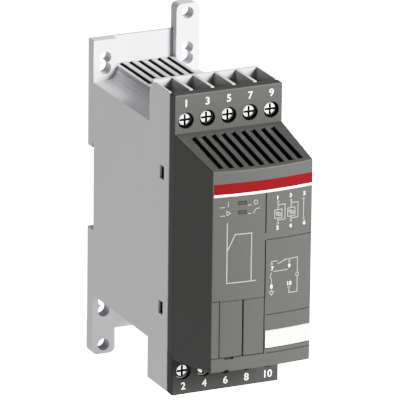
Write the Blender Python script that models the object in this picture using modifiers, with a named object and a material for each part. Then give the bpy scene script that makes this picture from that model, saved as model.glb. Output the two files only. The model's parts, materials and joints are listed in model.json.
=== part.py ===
"""Compact soft starter for a small three-phase motor, as one assembly.

The frame is metres with +Z up. The front of the device faces -Y and +X is to the right as seen from the
front. The origin lies on the seat of the 35 mm rail, halfway across the device and halfway up it.
"Depth" below means a distance behind the nose's front face, which is bowed across the width.
"""

import math

import bmesh
import bpy
from mathutils import Matrix, Vector

# Overall size
WIDTH = 0.0450
HEIGHT = 0.1400
DEPTH = 0.1140
PIECE_GAP = 0.0003
PAST = 0.0100

# Terminal blocks, the two decks of five clamps above and below the nose
UPPER_EAR_REACH = 0.0107
LOWER_EAR_REACH = 0.0087
BLOCK_DEPTH = 0.0231
BLOCK_REAR_WALL = 0.0015
BLOCK_SIDE_WALL = 0.0009
BLOCK_CORNER_CUT = 0.0040
TERMINAL_COUNT = 5
RIB_WIDTH = 0.0013
UPPER_SCREW_INSET = 0.0103
LOWER_SCREW_INSET = 0.0094
CHAMBER_FLOOR_GAP = 0.0010

# Front cover and its nose
NOSE_LENGTH = 0.0326
FRONT_BOW = 0.0017
BOW_STEPS = 16
NOSE_SIDE_DRAFT = 0.0018
NOSE_TOP_DRAFT = 0.0059
NOSE_BOTTOM_DRAFT = 0.0048
NOSE_UPPER_GAP = 0.0051
NOSE_LOWER_GAP = 0.0055
NOSE_ROOT_INSET = 0.0001
COVER_RIM = 0.0047
COVER_WALL = 0.0018
COVER_EDGE = 0.0004
SCREW_HOLE_RADIUS = 0.0032
LOUVRE_COUNT = 9
LOUVRE_MARGIN = 0.0042
LOUVRE_WIDTH = 0.0021
LOUVRE_FRONT = 0.0023
LOUVRE_END = 0.0030
UNDER_LOUVRE_FRONT = 0.0085
GROOVE_WIDTH = 0.0004
GROOVE_DEPTH = 0.0005
COLUMN_OFFSET = 0.0007
GRAPH_DROP = 0.0101
CIRCUIT_BREAK_DROP = 0.0260
CIRCUIT_DROP = 0.0288
NOTE_RISE = 0.0208
BLANK_TOP_RISE = 0.0282
BLANK_BOTTOM_RISE = 0.0054
BLANK_MARGIN = 0.0030
BLANK_THICKNESS = 0.0016
POCKET_LIP = 0.0014
PRY_INSET = 0.0022
PRY_WIDTH = 0.0037
PRY_HEIGHT = 0.0006
MARKER_TOP_RISE = 0.0145
MARKER_HEIGHT = 0.0073
MARKER_THICKNESS = 0.0009
LAMP_MARGIN = 0.0117
LAMP_WIDTH = 0.0034
LAMP_HEIGHT = 0.0015
LAMP_DROP = 0.0129
LAMP_PITCH = 0.0037

# Snap arms that hold the cover to the housing
CLIP_UPPER_DROP = 0.0337
CLIP_LOWER_RISE = 0.0324
CLIP_WINDOW_SETBACK = 0.0047
CLIP_WINDOW_LENGTH = 0.0038
CLIP_WINDOW_HEIGHT = 0.0054
CLIP_ARM_WIDTH = 0.0044
CLIP_ARM_THICKNESS = 0.0013
CLIP_ARM_START = 0.0050
CLIP_HOOK_INSET = 0.0006

# Rear housing
HOUSING_WALL = 0.0020
HOUSING_EDGE = 0.0004
POCKET_UPPER_DROP = 0.0167
POCKET_LOWER_RISE = 0.0166
POCKET_FILLET = 0.0057
VENT_SIDE_WALL = 0.0008
VENT_COUNT = 6
VENT_SLOT_WIDTH = 0.0020
VENT_SLOT_LENGTH = 0.0297
EAR_WIDTH = 0.0098
EAR_THICKNESS = 0.0056
EAR_CORNER = 0.0023
PLATE_THICKNESS = 0.0020
EAR_HOLE_RADIUS = 0.00245
EAR_HOLE_SIDE = 0.0050
EAR_HOLE_INSET = 0.0038
KEYHOLE_OUTER_INSET = 0.0179
KEYHOLE_INNER_INSET = 0.0223

# Rail channel and the sprung latch below it
RAIL_HEIGHT = 0.0350
RAIL_LIP = 0.0010
RAIL_RECESS = 0.0060
RAIL_PLAY = 0.0003
SEAT_RELIEF = 0.0002
HOOK_REACH = 0.0020
LATCH_WIDTH = 0.0120
LATCH_THICKNESS = 0.0022
LATCH_TAB_WIDTH = 0.0078
LATCH_TAB_INSET = 0.0038
LATCH_SLOT_HEIGHT = 0.0016
LATCH_LIP = 0.0018
SPRING_POST_RISE = 0.0044
SPRING_POST_HEIGHT = 0.0018
SPRING_LENGTH = 0.0136
SPRING_MEAN_RADIUS = 0.0014
SPRING_WIRE_RADIUS = 0.00022
SPRING_TURNS = 6
SPRING_POINTS_PER_TURN = 10

# Terminal screws, lifting clamps and contact bars
HEAD_RADIUS = 0.0028
HEAD_THICKNESS = 0.0020
HEAD_RECESS = 0.0013
HEAD_DOME = 0.0005
SHANK_RADIUS = 0.0017
DRIVE_LENGTH = 0.0043
DRIVE_WIDTH = 0.0009
DRIVE_DEPTH = 0.0011
SCREW_SIDES = 16
CLAMP_HEIGHT = 0.0068
CLAMP_WALL = 0.0009
CLAMP_FRONT_WALL = 0.0016
CLAMP_TRAVEL = 0.0042
WIRE_GAP = 0.0052
BAR_THICKNESS = 0.0012
BAR_SETBACK = 0.0019
BAR_PAST_SCREW = 0.0038
BAR_OVERLAP = 0.0050

# Boards, power parts and heat sink inside
BOARD_THICKNESS = 0.0016
BOARD_SIDE_GAP = 0.0005
BOARD_END_GAP = 0.0026
CONTROL_BOARD_DEPTH = 0.0180
CONTROL_BOARD_TOP_GAP = 0.0063
CONTROL_BOARD_BOTTOM_GAP = 0.0078
LINK_BOARD_INSET = 0.0054
LINK_BOARD_HEIGHT = 0.0400
RELAY_WIDTH = 0.0130
RELAY_HEIGHT = 0.0280
RELAY_LENGTH = 0.0158
RELAY_INSET = 0.0201
TRANSFORMER_WIDTH = 0.0220
TRANSFORMER_HEIGHT = 0.0260
TRANSFORMER_LENGTH = 0.0150
TRANSFORMER_SIDE_INSET = 0.0024
TRANSFORMER_INSET = 0.0258
CAPACITOR_RADIUS = 0.0050
CAPACITOR_LENGTH = 0.0100
CAPACITOR_INSET = 0.0260
CAPACITOR_SPACING = 0.0115
LED_WIDTH = 0.0030
LED_LENGTH = 0.0022
SINK_CLEARANCE = 0.0105
SINK_SIDE_GAP = 0.0006
SINK_PLATE_THICKNESS = 0.0040
FIN_COUNT = 9
FIN_THICKNESS = 0.0014
THYRISTOR_SPACING = 0.0030
THYRISTOR_HEIGHT = 0.0280
THYRISTOR_LENGTH = 0.0080
THYRISTOR_INSET = 0.0200
LEG_COUNT = 3
LEG_PITCH = 0.0050
LEG_WIDTH = 0.0010
LEG_DROP = 0.0060
MODULE_SCREW_RADIUS = 0.0016
MODULE_SCREW_HEAD = 0.0034
MODULE_SCREW_HEAD_HEIGHT = 0.0020
MODULE_SCREW_GRIP = 0.0020

# Places that follow from the sizes above, from front to rear
HALF_WIDTH = WIDTH / 2
HALF_HEIGHT = HEIGHT / 2
REAR = RAIL_RECESS
FRONT = REAR - DEPTH
TERMINAL_FACE = FRONT + NOSE_LENGTH
PARTING = TERMINAL_FACE + COVER_RIM
HOUSING_FRONT = PARTING + PIECE_GAP
BLOCK_REAR = TERMINAL_FACE + BLOCK_DEPTH
PLATE_FRONT = REAR - PLATE_THICKNESS
EAR_FRONT = REAR - EAR_THICKNESS
RAIL_SEAT_WALL = -HOUSING_WALL
CLIP_WINDOW_FRONT = PARTING + CLIP_WINDOW_SETBACK
CLIP_WINDOW_BACK = CLIP_WINDOW_FRONT + CLIP_WINDOW_LENGTH

HEAD_FRONT = TERMINAL_FACE + HEAD_RECESS
HEAD_BACK = HEAD_FRONT + HEAD_THICKNESS
CLAMP_FRONT = HOUSING_FRONT + CLAMP_TRAVEL
BAR_FRONT = CLAMP_FRONT + CLAMP_FRONT_WALL + BAR_SETBACK
BAR_BACK = BAR_FRONT + BAR_THICKNESS
CLAMP_BACK = BAR_BACK + WIRE_GAP + CLAMP_WALL
SCREW_TIP = BAR_FRONT - PIECE_GAP
POWER_BOARD_FRONT = BAR_BACK + PIECE_GAP
POWER_BOARD_BACK = POWER_BOARD_FRONT + BOARD_THICKNESS
CONTROL_BOARD_FRONT = FRONT + CONTROL_BOARD_DEPTH
CONTROL_BOARD_BACK = CONTROL_BOARD_FRONT + BOARD_THICKNESS
LED_FRONT = CONTROL_BOARD_FRONT - PIECE_GAP - LED_LENGTH
SINK_BACK = RAIL_SEAT_WALL - PIECE_GAP
RELAY_BACK = POWER_BOARD_BACK + PIECE_GAP + RELAY_LENGTH
SINK_FRONT = RELAY_BACK + SINK_CLEARANCE

# Places across the width
INNER_X = HALF_WIDTH - HOUSING_WALL
CHAMBER_WIDTH = (WIDTH - 2 * BLOCK_SIDE_WALL - (TERMINAL_COUNT - 1) * RIB_WIDTH) / TERMINAL_COUNT
CHAMBER_HALF = CHAMBER_WIDTH / 2
TERMINAL_PITCH = CHAMBER_WIDTH + RIB_WIDTH
CLAMP_WIDTH = CHAMBER_WIDTH - 2 * PIECE_GAP
BAR_WIDTH = CLAMP_WIDTH - 2 * (CLAMP_WALL + PIECE_GAP)
NOSE_FRONT_WIDTH = WIDTH - 2 * NOSE_SIDE_DRAFT
BOW_RADIUS = (NOSE_FRONT_WIDTH ** 2 / 4 + FRONT_BOW ** 2) / (2 * FRONT_BOW)
LOUVRE_PITCH = (NOSE_FRONT_WIDTH - 2 * LOUVRE_MARGIN) / (LOUVRE_COUNT - 1)
COLUMN_X = COLUMN_OFFSET
BLANK_LEFT = BLANK_MARGIN - NOSE_FRONT_WIDTH / 2
BLANK_SPLIT = (BLANK_LEFT + COLUMN_X) / 2 + PIECE_GAP
PRY_LEFT = BLANK_LEFT + PRY_INSET
LAMP_X = LAMP_MARGIN - NOSE_FRONT_WIDTH / 2
LAMP_LENGTH = LED_FRONT - PIECE_GAP - FRONT - FRONT_BOW
EAR_INNER_X = HALF_WIDTH - EAR_WIDTH
EAR_HOLE_X = HALF_WIDTH - EAR_HOLE_SIDE
VENT_HALF_WIDTH = EAR_INNER_X - PIECE_GAP
VENT_PITCH = (2 * VENT_HALF_WIDTH - VENT_SIDE_WALL) / VENT_COUNT
CLIP_ARM_OUTER = INNER_X - PIECE_GAP
CLIP_ARM_INNER = CLIP_ARM_OUTER - CLIP_ARM_THICKNESS
POWER_BOARD_HALF = CLIP_ARM_INNER - BOARD_SIDE_GAP
LINK_BOARD_X = POWER_BOARD_HALF - LINK_BOARD_INSET
RELAY_X = POWER_BOARD_HALF / 2
CAPACITOR_X = -POWER_BOARD_HALF / 2
TRANSFORMER_X = TRANSFORMER_SIDE_INSET + TRANSFORMER_WIDTH / 2 - POWER_BOARD_HALF
SINK_HALF = INNER_X - SINK_SIDE_GAP
THYRISTOR_X = SINK_HALF / 2
THYRISTOR_WIDTH = SINK_HALF - THYRISTOR_SPACING

# Places up the height
BLOCK_TOP = HALF_HEIGHT - UPPER_EAR_REACH
BLOCK_BOTTOM = LOWER_EAR_REACH - HALF_HEIGHT
UPPER_SCREW_Z = BLOCK_TOP - UPPER_SCREW_INSET
LOWER_SCREW_Z = BLOCK_BOTTOM + LOWER_SCREW_INSET
UPPER_FLOOR = UPPER_SCREW_Z - CLAMP_HEIGHT / 2 - CHAMBER_FLOOR_GAP
LOWER_FLOOR = LOWER_SCREW_Z + CLAMP_HEIGHT / 2 + CHAMBER_FLOOR_GAP
NOSE_ROOT_TOP = UPPER_SCREW_Z - NOSE_UPPER_GAP
NOSE_ROOT_BOTTOM = LOWER_SCREW_Z + NOSE_LOWER_GAP
NOSE_FRONT_TOP = NOSE_ROOT_TOP - NOSE_TOP_DRAFT
NOSE_FRONT_BOTTOM = NOSE_ROOT_BOTTOM + NOSE_BOTTOM_DRAFT
GRAPH_TOP = NOSE_FRONT_TOP - GRAPH_DROP
CIRCUIT_BREAK = NOSE_FRONT_TOP - CIRCUIT_BREAK_DROP
CIRCUIT_LINE = NOSE_FRONT_TOP - CIRCUIT_DROP
NOTE_LINE = NOSE_FRONT_BOTTOM + NOTE_RISE
BLANK_TOP = NOSE_FRONT_BOTTOM + BLANK_TOP_RISE
BLANK_BOTTOM = NOSE_FRONT_BOTTOM + BLANK_BOTTOM_RISE
MARKER_TOP = NOSE_FRONT_BOTTOM + MARKER_TOP_RISE
MARKER_BOTTOM = MARKER_TOP - MARKER_HEIGHT
LAMP_UPPER_Z = NOSE_FRONT_TOP - LAMP_DROP
CLIP_UPPER_Z = BLOCK_TOP - CLIP_UPPER_DROP
CLIP_LOWER_Z = BLOCK_BOTTOM + CLIP_LOWER_RISE
POCKET_FLOOR = BLOCK_TOP - POCKET_UPPER_DROP
POCKET_CEILING = BLOCK_BOTTOM + POCKET_LOWER_RISE
VENT_TOP = POCKET_FLOOR + POCKET_FILLET
VENT_BOTTOM = POCKET_CEILING - POCKET_FILLET
CAVITY_TOP = POCKET_FLOOR - HOUSING_WALL
CAVITY_BOTTOM = POCKET_CEILING + HOUSING_WALL
EAR_HOLE_Z = HALF_HEIGHT - EAR_HOLE_INSET
KEYHOLE_OUTER_Z = HALF_HEIGHT - KEYHOLE_OUTER_INSET
KEYHOLE_INNER_Z = HALF_HEIGHT - KEYHOLE_INNER_INSET
BOARD_TOP = CAVITY_TOP - BOARD_END_GAP
BOARD_BOTTOM = CAVITY_BOTTOM + BOARD_END_GAP
CONTROL_BOARD_TOP = NOSE_FRONT_TOP - CONTROL_BOARD_TOP_GAP
CONTROL_BOARD_BOTTOM = NOSE_FRONT_BOTTOM + CONTROL_BOARD_BOTTOM_GAP
RELAY_Z = BOARD_BOTTOM + RELAY_INSET
CAPACITOR_Z = BOARD_TOP - CAPACITOR_INSET
TRANSFORMER_Z = NOSE_FRONT_BOTTOM + TRANSFORMER_INSET
THYRISTOR_Z = BOARD_TOP - THYRISTOR_INSET

# The rail channel and the latch
CHANNEL_TOP = RAIL_HEIGHT / 2 + RAIL_PLAY
CHANNEL_BOTTOM = -CHANNEL_TOP
SEAT_TOP = CHANNEL_TOP - HOOK_REACH - PIECE_GAP
HOOK_FRONT = RAIL_LIP + RAIL_PLAY
LATCH_FRONT = HOOK_FRONT + PIECE_GAP / 2
LATCH_BACK = LATCH_FRONT + LATCH_THICKNESS
LATCH_Y = (LATCH_FRONT + LATCH_BACK) / 2
LATCH_TOP = CHANNEL_BOTTOM + HOOK_REACH
LATCH_TAB_END = BLOCK_BOTTOM + LATCH_TAB_INSET
SPRING_POST_Z = VENT_BOTTOM + SPRING_POST_RISE
SPRING_BOTTOM = SPRING_POST_Z + SPRING_POST_HEIGHT + PIECE_GAP
SPRING_TOP = SPRING_BOTTOM + SPRING_LENGTH

# Name, base colour, roughness and metallic value of each material
MATERIALS = {
    "light_grey_plastic": ((0.66, 0.66, 0.68), 0.55, 0.0),
    "dark_grey_plastic": ((0.16, 0.16, 0.155), 0.5, 0.0),
    "blank_plastic": ((0.165, 0.165, 0.16), 0.5, 0.0),
    "white_plastic": ((0.90, 0.90, 0.88), 0.5, 0.0),
    "light_pipe": ((0.20, 0.25, 0.24), 0.2, 0.0),
    "led_body": ((0.75, 0.82, 0.70), 0.2, 0.0),
    "board_green": ((0.05, 0.22, 0.12), 0.5, 0.0),
    "relay_black": ((0.03, 0.03, 0.03), 0.4, 0.0),
    "module_grey": ((0.12, 0.12, 0.13), 0.5, 0.0),
    "transformer_blue": ((0.06, 0.12, 0.30), 0.4, 0.0),
    "capacitor_sleeve": ((0.05, 0.05, 0.09), 0.35, 0.0),
    "aluminium": ((0.75, 0.76, 0.78), 0.4, 1.0),
    "zinc_steel": ((0.80, 0.81, 0.83), 0.3, 1.0),
    "spring_steel": ((0.55, 0.56, 0.58), 0.35, 1.0),
    "tinned_copper": ((0.80, 0.68, 0.52), 0.35, 1.0),
    "latch_black": ((0.04, 0.04, 0.04), 0.5, 0.0),
}


def start_empty():
    """Remove what the scene holds and make the two collections: the pieces and the cutters."""
    for found in list(bpy.data.objects):
        bpy.data.objects.remove(found, do_unlink=True)
    collections = []
    for name in ("soft_starter", "soft_starter_cutters"):
        collection = bpy.data.collections.new(name)
        bpy.context.scene.collection.children.link(collection)
        collections.append(collection)
    return collections


def make_material(name):
    """Return the named Principled material."""
    colour, roughness, metallic = MATERIALS[name]
    material = bpy.data.materials.new(name)
    material.use_nodes = True
    shader = material.node_tree.nodes["Principled BSDF"]
    shader.inputs["Base Color"].default_value = (*colour, 1.0)
    shader.inputs["Roughness"].default_value = roughness
    shader.inputs["Metallic"].default_value = metallic
    return material


PIECES, CUTTERS = start_empty()
SURFACES = {name: make_material(name) for name in MATERIALS}


def add_box(mesh, low, high):
    """Add a box between two corners to a bmesh and return its vertices."""
    low, high = Vector(low), Vector(high)
    verts = bmesh.ops.create_cube(mesh, size=1.0)["verts"]
    bmesh.ops.scale(mesh, vec=high - low, verts=verts)
    bmesh.ops.translate(mesh, vec=(low + high) / 2, verts=verts)
    return verts


def add_rod(mesh, radius, start, end, x, z, sides=24):
    """Add a round rod along Y, from start to end, at the given x and z."""
    made = bmesh.ops.create_cone(
        mesh, cap_ends=True, segments=sides, radius1=radius, radius2=radius, depth=end - start
    )
    turn = Matrix.Rotation(math.pi / 2, 3, "X")
    bmesh.ops.rotate(mesh, verts=made["verts"], cent=(0, 0, 0), matrix=turn)
    bmesh.ops.translate(mesh, vec=(x, (start + end) / 2, z), verts=made["verts"])


def add_frustum(mesh, front_y, front, back_y, back):
    """Add a box whose front and back rectangles, each (x0, x1, z0, z1), differ in size."""
    for vert in bmesh.ops.create_cube(mesh, size=2.0)["verts"]:
        x0, x1, z0, z1 = front if vert.co.y < 0 else back
        vert.co.x = x0 if vert.co.x < 0 else x1
        vert.co.z = z0 if vert.co.z < 0 else z1
        vert.co.y = front_y if vert.co.y < 0 else back_y


def bow(x):
    """How far the front face lies behind its middle at x: an arc across the width."""
    return BOW_RADIUS - math.sqrt(BOW_RADIUS ** 2 - x ** 2)


def add_rings(mesh, rings):
    """Add a closed body through four-sided rings that follow one another."""
    rows = [[mesh.verts.new(point) for point in ring] for ring in rings]
    for near, far in zip(rows[:-1], rows[1:]):
        for k in range(4):
            mesh.faces.new((near[k], near[(k + 1) % 4], far[(k + 1) % 4], far[k]))
    mesh.faces.new(rows[0][::-1])
    mesh.faces.new(rows[-1])
    bmesh.ops.recalc_face_normals(mesh, faces=mesh.faces)


def bowed_rings(x0, x1, z0, z1, near, far):
    """Rings of a slab between two depths behind the bowed front, from x0 to x1."""
    count = max(1, math.ceil(BOW_STEPS * (x1 - x0) / NOSE_FRONT_WIDTH))
    rings = []
    for i in range(count + 1):
        x = x0 + (x1 - x0) * i / count
        front, back = FRONT + bow(x) + near, FRONT + bow(x) + far
        rings.append(((x, front, z0), (x, front, z1), (x, back, z1), (x, back, z0)))
    return rings


def bevel_edges_at(mesh, points, radius, segments=5):
    """Round the edges whose midpoints are nearest to the given points."""
    for point in points:
        point = Vector(point)
        edge = min(mesh.edges, key=lambda e: ((e.verts[0].co + e.verts[1].co) / 2 - point).length)
        bmesh.ops.bevel(
            mesh, geom=[edge], offset=radius, segments=segments, profile=0.5, affect="EDGES"
        )


def make_object(name, mesh, collection, origin=(0, 0, 0)):
    """Turn a bmesh given in world coordinates into an object whose origin is the given point."""
    origin = Vector(origin)
    bmesh.ops.translate(mesh, vec=-origin, verts=mesh.verts)
    data = bpy.data.meshes.new(name)
    mesh.to_mesh(data)
    mesh.free()
    made = bpy.data.objects.new(name, data)
    made.location = origin
    collection.objects.link(made)
    return made


def piece(name, mesh, surface, origin=(0, 0, 0)):
    """A visible piece of the assembly."""
    made = make_object(name, mesh, PIECES, origin)
    made.data.materials.append(SURFACES[surface])
    return made


def tool(name, mesh):
    """A body that only cuts or joins, hidden from the renders."""
    made = make_object(name, mesh, CUTTERS)
    made.hide_render = True
    made.display_type = "WIRE"
    return made


def boxes_tool(name, corners):
    """A tool made of separate boxes."""
    mesh = bmesh.new()
    for low, high in corners:
        add_box(mesh, low, high)
    return tool(name, mesh)


def bowed_tool(name, slabs):
    """A tool made of separate slabs that follow the bowed front, each (x0, x1, z0, z1, near, far)."""
    joined = bmesh.new()
    for slab in slabs:
        add_rings(joined, bowed_rings(*slab))
    return tool(name, joined)


def apply_tool(target, body, operation="DIFFERENCE"):
    """Cut or join a tool with a live Boolean modifier."""
    modifier = target.modifiers.new(body.name, "BOOLEAN")
    modifier.operation = operation
    modifier.solver = "EXACT"
    modifier.object = body


def round_edges(target, width, segments=2):
    """Round the sharp edges that the object has at this point of its modifier stack."""
    modifier = target.modifiers.new("edges", "BEVEL")
    modifier.width = width
    modifier.segments = segments
    modifier.limit_method = "ANGLE"
    modifier.angle_limit = math.radians(40)


def box_piece(name, low, high, surface, edge=0.0):
    """A plain rectangular piece with its origin at its centre."""
    mesh = bmesh.new()
    add_box(mesh, low, high)
    made = piece(name, mesh, surface, (Vector(low) + Vector(high)) / 2)
    if edge:
        round_edges(made, edge, 1)
    return made


def bowed_piece(name, slab, surface, edge=0.0):
    """A slab-shaped piece that follows the bowed front, with its origin at its centre."""
    x0, x1, z0, z1, near, far = slab
    mesh = bmesh.new()
    add_rings(mesh, bowed_rings(*slab))
    x = (x0 + x1) / 2
    made = piece(name, mesh, surface, (x, FRONT + bow(x) + (near + far) / 2, (z0 + z1) / 2))
    if edge:
        round_edges(made, edge, 1)


def baked(source):
    """The evaluated mesh of an object, for pieces that share it, and remove the object."""
    bpy.context.view_layer.update()
    evaluated = source.evaluated_get(bpy.context.evaluated_depsgraph_get())
    data = bpy.data.meshes.new_from_object(evaluated)
    data.name = source.name
    bpy.data.objects.remove(source, do_unlink=True)
    return data


def terminal_xs():
    """X of each terminal of a deck, from left to right."""
    return [(i - (TERMINAL_COUNT - 1) / 2) * TERMINAL_PITCH for i in range(TERMINAL_COUNT)]


def decks():
    """The two terminal decks: name, screw height, direction of the wire mouths, chamber floor, wall end."""
    return (
        ("upper", UPPER_SCREW_Z, 1, UPPER_FLOOR, CAVITY_TOP),
        ("lower", LOWER_SCREW_Z, -1, LOWER_FLOOR, CAVITY_BOTTOM),
    )


def span(a, b):
    """Two values in rising order."""
    return (a, b) if a < b else (b, a)


def slot_row(count, pitch, width):
    """Left and right x of each slot in a centred row."""
    centres = [(i - (count - 1) / 2) * pitch for i in range(count)]
    return [(x - width / 2, x + width / 2) for x in centres]


def build_housing():
    """Light grey rear housing: shell, wire combs, vents, pockets, ears, rear plate and rail channel."""
    mesh = bmesh.new()
    add_box(mesh, (-HALF_WIDTH, HOUSING_FRONT, BLOCK_BOTTOM), (HALF_WIDTH, REAR, BLOCK_TOP))
    housing = piece("rear_housing", mesh, "light_grey_plastic")
    round_edges(housing, HOUSING_EDGE)
    join_tall_ears(housing)
    cut_outer_form(housing)
    cut_inside(housing)
    cut_combs(housing)
    cut_vents(housing)
    cut_ear_holes(housing)
    cut_rail_channel(housing)
    cut_clip_windows(housing)


def join_tall_ears(housing):
    """The two long fixing ears: right above and left below, with rounded free corners."""
    for side, upright in ((1, 1), (-1, -1)):
        mesh = bmesh.new()
        x0, x1 = span(side * EAR_INNER_X, side * HALF_WIDTH)
        root = BLOCK_TOP if upright > 0 else BLOCK_BOTTOM
        z0, z1 = span(root - upright * 2 * EAR_CORNER, upright * HALF_HEIGHT)
        add_box(mesh, (x0, EAR_FRONT, z0), (x1, REAR, z1))
        y = (EAR_FRONT + REAR) / 2
        tip = upright * HALF_HEIGHT
        bevel_edges_at(mesh, [(x0, y, tip), (x1, y, tip)], EAR_CORNER, 4)
        word = "upper" if upright > 0 else "lower"
        apply_tool(housing, tool("tall_ear_" + word, mesh), "UNION")


def cut_outer_form(housing):
    """Clear the space over and under the vent block and the fixing pocket beside it at each ear."""
    centre = boxes_tool(
        "vent_clearance",
        [
            ((-EAR_INNER_X, BLOCK_REAR, VENT_TOP), (EAR_INNER_X, PLATE_FRONT, BLOCK_TOP + PAST)),
            ((-EAR_INNER_X, BLOCK_REAR, BLOCK_BOTTOM - PAST), (EAR_INNER_X, PLATE_FRONT, VENT_BOTTOM)),
        ],
    )
    apply_tool(housing, centre)
    y = (BLOCK_REAR + EAR_FRONT) / 2
    for level, upright, word in ((POCKET_FLOOR, 1, "upper"), (POCKET_CEILING, -1, "lower")):
        for side, hand in ((-1, "left"), (1, "right")):
            mesh = bmesh.new()
            x0, x1 = span(side * VENT_HALF_WIDTH, side * (HALF_WIDTH + PAST))
            z0, z1 = span(level, upright * (HALF_HEIGHT + PAST))
            add_box(mesh, (x0, BLOCK_REAR, z0), (x1, EAR_FRONT, z1))
            bevel_edges_at(mesh, [(side * VENT_HALF_WIDTH, y, level)], POCKET_FILLET)
            apply_tool(housing, tool("fixing_pocket_" + word + "_" + hand, mesh))
    mesh = bmesh.new()
    half = BLOCK_CORNER_CUT / math.sqrt(2)
    low = (-HALF_WIDTH - PAST, BLOCK_REAR - half, BLOCK_TOP - half)
    add_box(mesh, low, (BLOCK_SIDE_WALL - HALF_WIDTH, BLOCK_REAR + half, BLOCK_TOP + half))
    middle = Vector((0, BLOCK_REAR, BLOCK_TOP))
    bmesh.ops.rotate(mesh, verts=mesh.verts, cent=middle, matrix=Matrix.Rotation(math.pi / 4, 3, "X"))
    apply_tool(housing, tool("comb_corner_cut", mesh))


def cut_inside(housing):
    """Hollow the shell from the front, with a riser behind the vents and lighter rear corners."""
    main = ((-INNER_X, HOUSING_FRONT - PAST, CAVITY_BOTTOM), (INNER_X, RAIL_SEAT_WALL, CAVITY_TOP))
    apply_tool(housing, boxes_tool("main_cavity", [main]))
    riser_x = VENT_HALF_WIDTH - VENT_SIDE_WALL
    riser_front = BLOCK_REAR + HOUSING_WALL
    riser = (
        (-riser_x, riser_front, VENT_BOTTOM + HOUSING_WALL),
        (riser_x, RAIL_SEAT_WALL - HOUSING_WALL, VENT_TOP - HOUSING_WALL),
    )
    apply_tool(housing, boxes_tool("vent_riser", [riser]))
    edge = CHANNEL_TOP + HOUSING_WALL
    guide = LATCH_WIDTH / 2 + HOUSING_WALL
    corners = [
        ((-riser_x, riser_front, edge), (riser_x, PLATE_FRONT, VENT_TOP - HOUSING_WALL)),
        ((-INNER_X, RAIL_SEAT_WALL - PAST, edge), (-riser_x - HOUSING_WALL, PLATE_FRONT, CAVITY_TOP)),
        ((riser_x + HOUSING_WALL, RAIL_SEAT_WALL - PAST, edge), (INNER_X, PLATE_FRONT, CAVITY_TOP)),
        ((-INNER_X, RAIL_SEAT_WALL - PAST, CAVITY_BOTTOM), (-guide, PLATE_FRONT, -edge)),
        ((guide, RAIL_SEAT_WALL - PAST, CAVITY_BOTTOM), (INNER_X, PLATE_FRONT, -edge)),
    ]
    apply_tool(housing, boxes_tool("rear_corner_cavities", corners))


def cut_combs(housing):
    """The wire chambers of both decks, open outwards and to the front, and the slots for the bars."""
    chambers = []
    slots = []
    for _, _, outward, floor, wall_end in decks():
        end = (BLOCK_TOP if outward > 0 else BLOCK_BOTTOM) + outward * PAST
        for x in terminal_xs():
            z0, z1 = span(floor, end)
            low = (x - CHAMBER_HALF, HOUSING_FRONT - PAST, z0)
            chambers.append((low, (x + CHAMBER_HALF, BLOCK_REAR - BLOCK_REAR_WALL, z1)))
            z0, z1 = span(floor + outward * PIECE_GAP, wall_end - outward * PAST)
            half = BAR_WIDTH / 2 + PIECE_GAP
            slots.append(((x - half, BAR_FRONT - PIECE_GAP, z0), (x + half, BAR_BACK + PIECE_GAP, z1)))
    apply_tool(housing, boxes_tool("wire_chambers", chambers))
    apply_tool(housing, boxes_tool("bar_slots", slots))


def cut_vents(housing):
    """Six long slots through the top and the bottom of the vent block."""
    slots = []
    end = PLATE_FRONT - PIECE_GAP
    front = end - VENT_SLOT_LENGTH
    under_end = RAIL_SEAT_WALL - HOUSING_WALL - PIECE_GAP
    for x0, x1 in slot_row(VENT_COUNT, VENT_PITCH, VENT_SLOT_WIDTH):
        slots.append(((x0, front, VENT_TOP - HOUSING_WALL - PAST), (x1, end, VENT_TOP + PAST)))
        slots.append(((x0, front, VENT_BOTTOM - PAST), (x1, under_end, VENT_BOTTOM + HOUSING_WALL + PAST)))
    apply_tool(housing, boxes_tool("vent_slots", slots))


def cut_ear_holes(housing):
    """Figure-eight keyholes in all four ears and a round hole near the end of each tall ear."""
    outer = bmesh.new()
    inner = bmesh.new()
    start, end = EAR_FRONT - PAST, REAR + PAST
    for side in (-1, 1):
        for upright in (-1, 1):
            x = side * EAR_HOLE_X
            add_rod(outer, EAR_HOLE_RADIUS, start, end, x, upright * KEYHOLE_OUTER_Z)
            add_rod(inner, EAR_HOLE_RADIUS, start, end, x, upright * KEYHOLE_INNER_Z)
            if side == upright:
                add_rod(outer, EAR_HOLE_RADIUS, start, end, x, upright * EAR_HOLE_Z)
    apply_tool(housing, tool("ear_holes_outer", outer))
    apply_tool(housing, tool("ear_holes_inner", inner))


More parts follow.
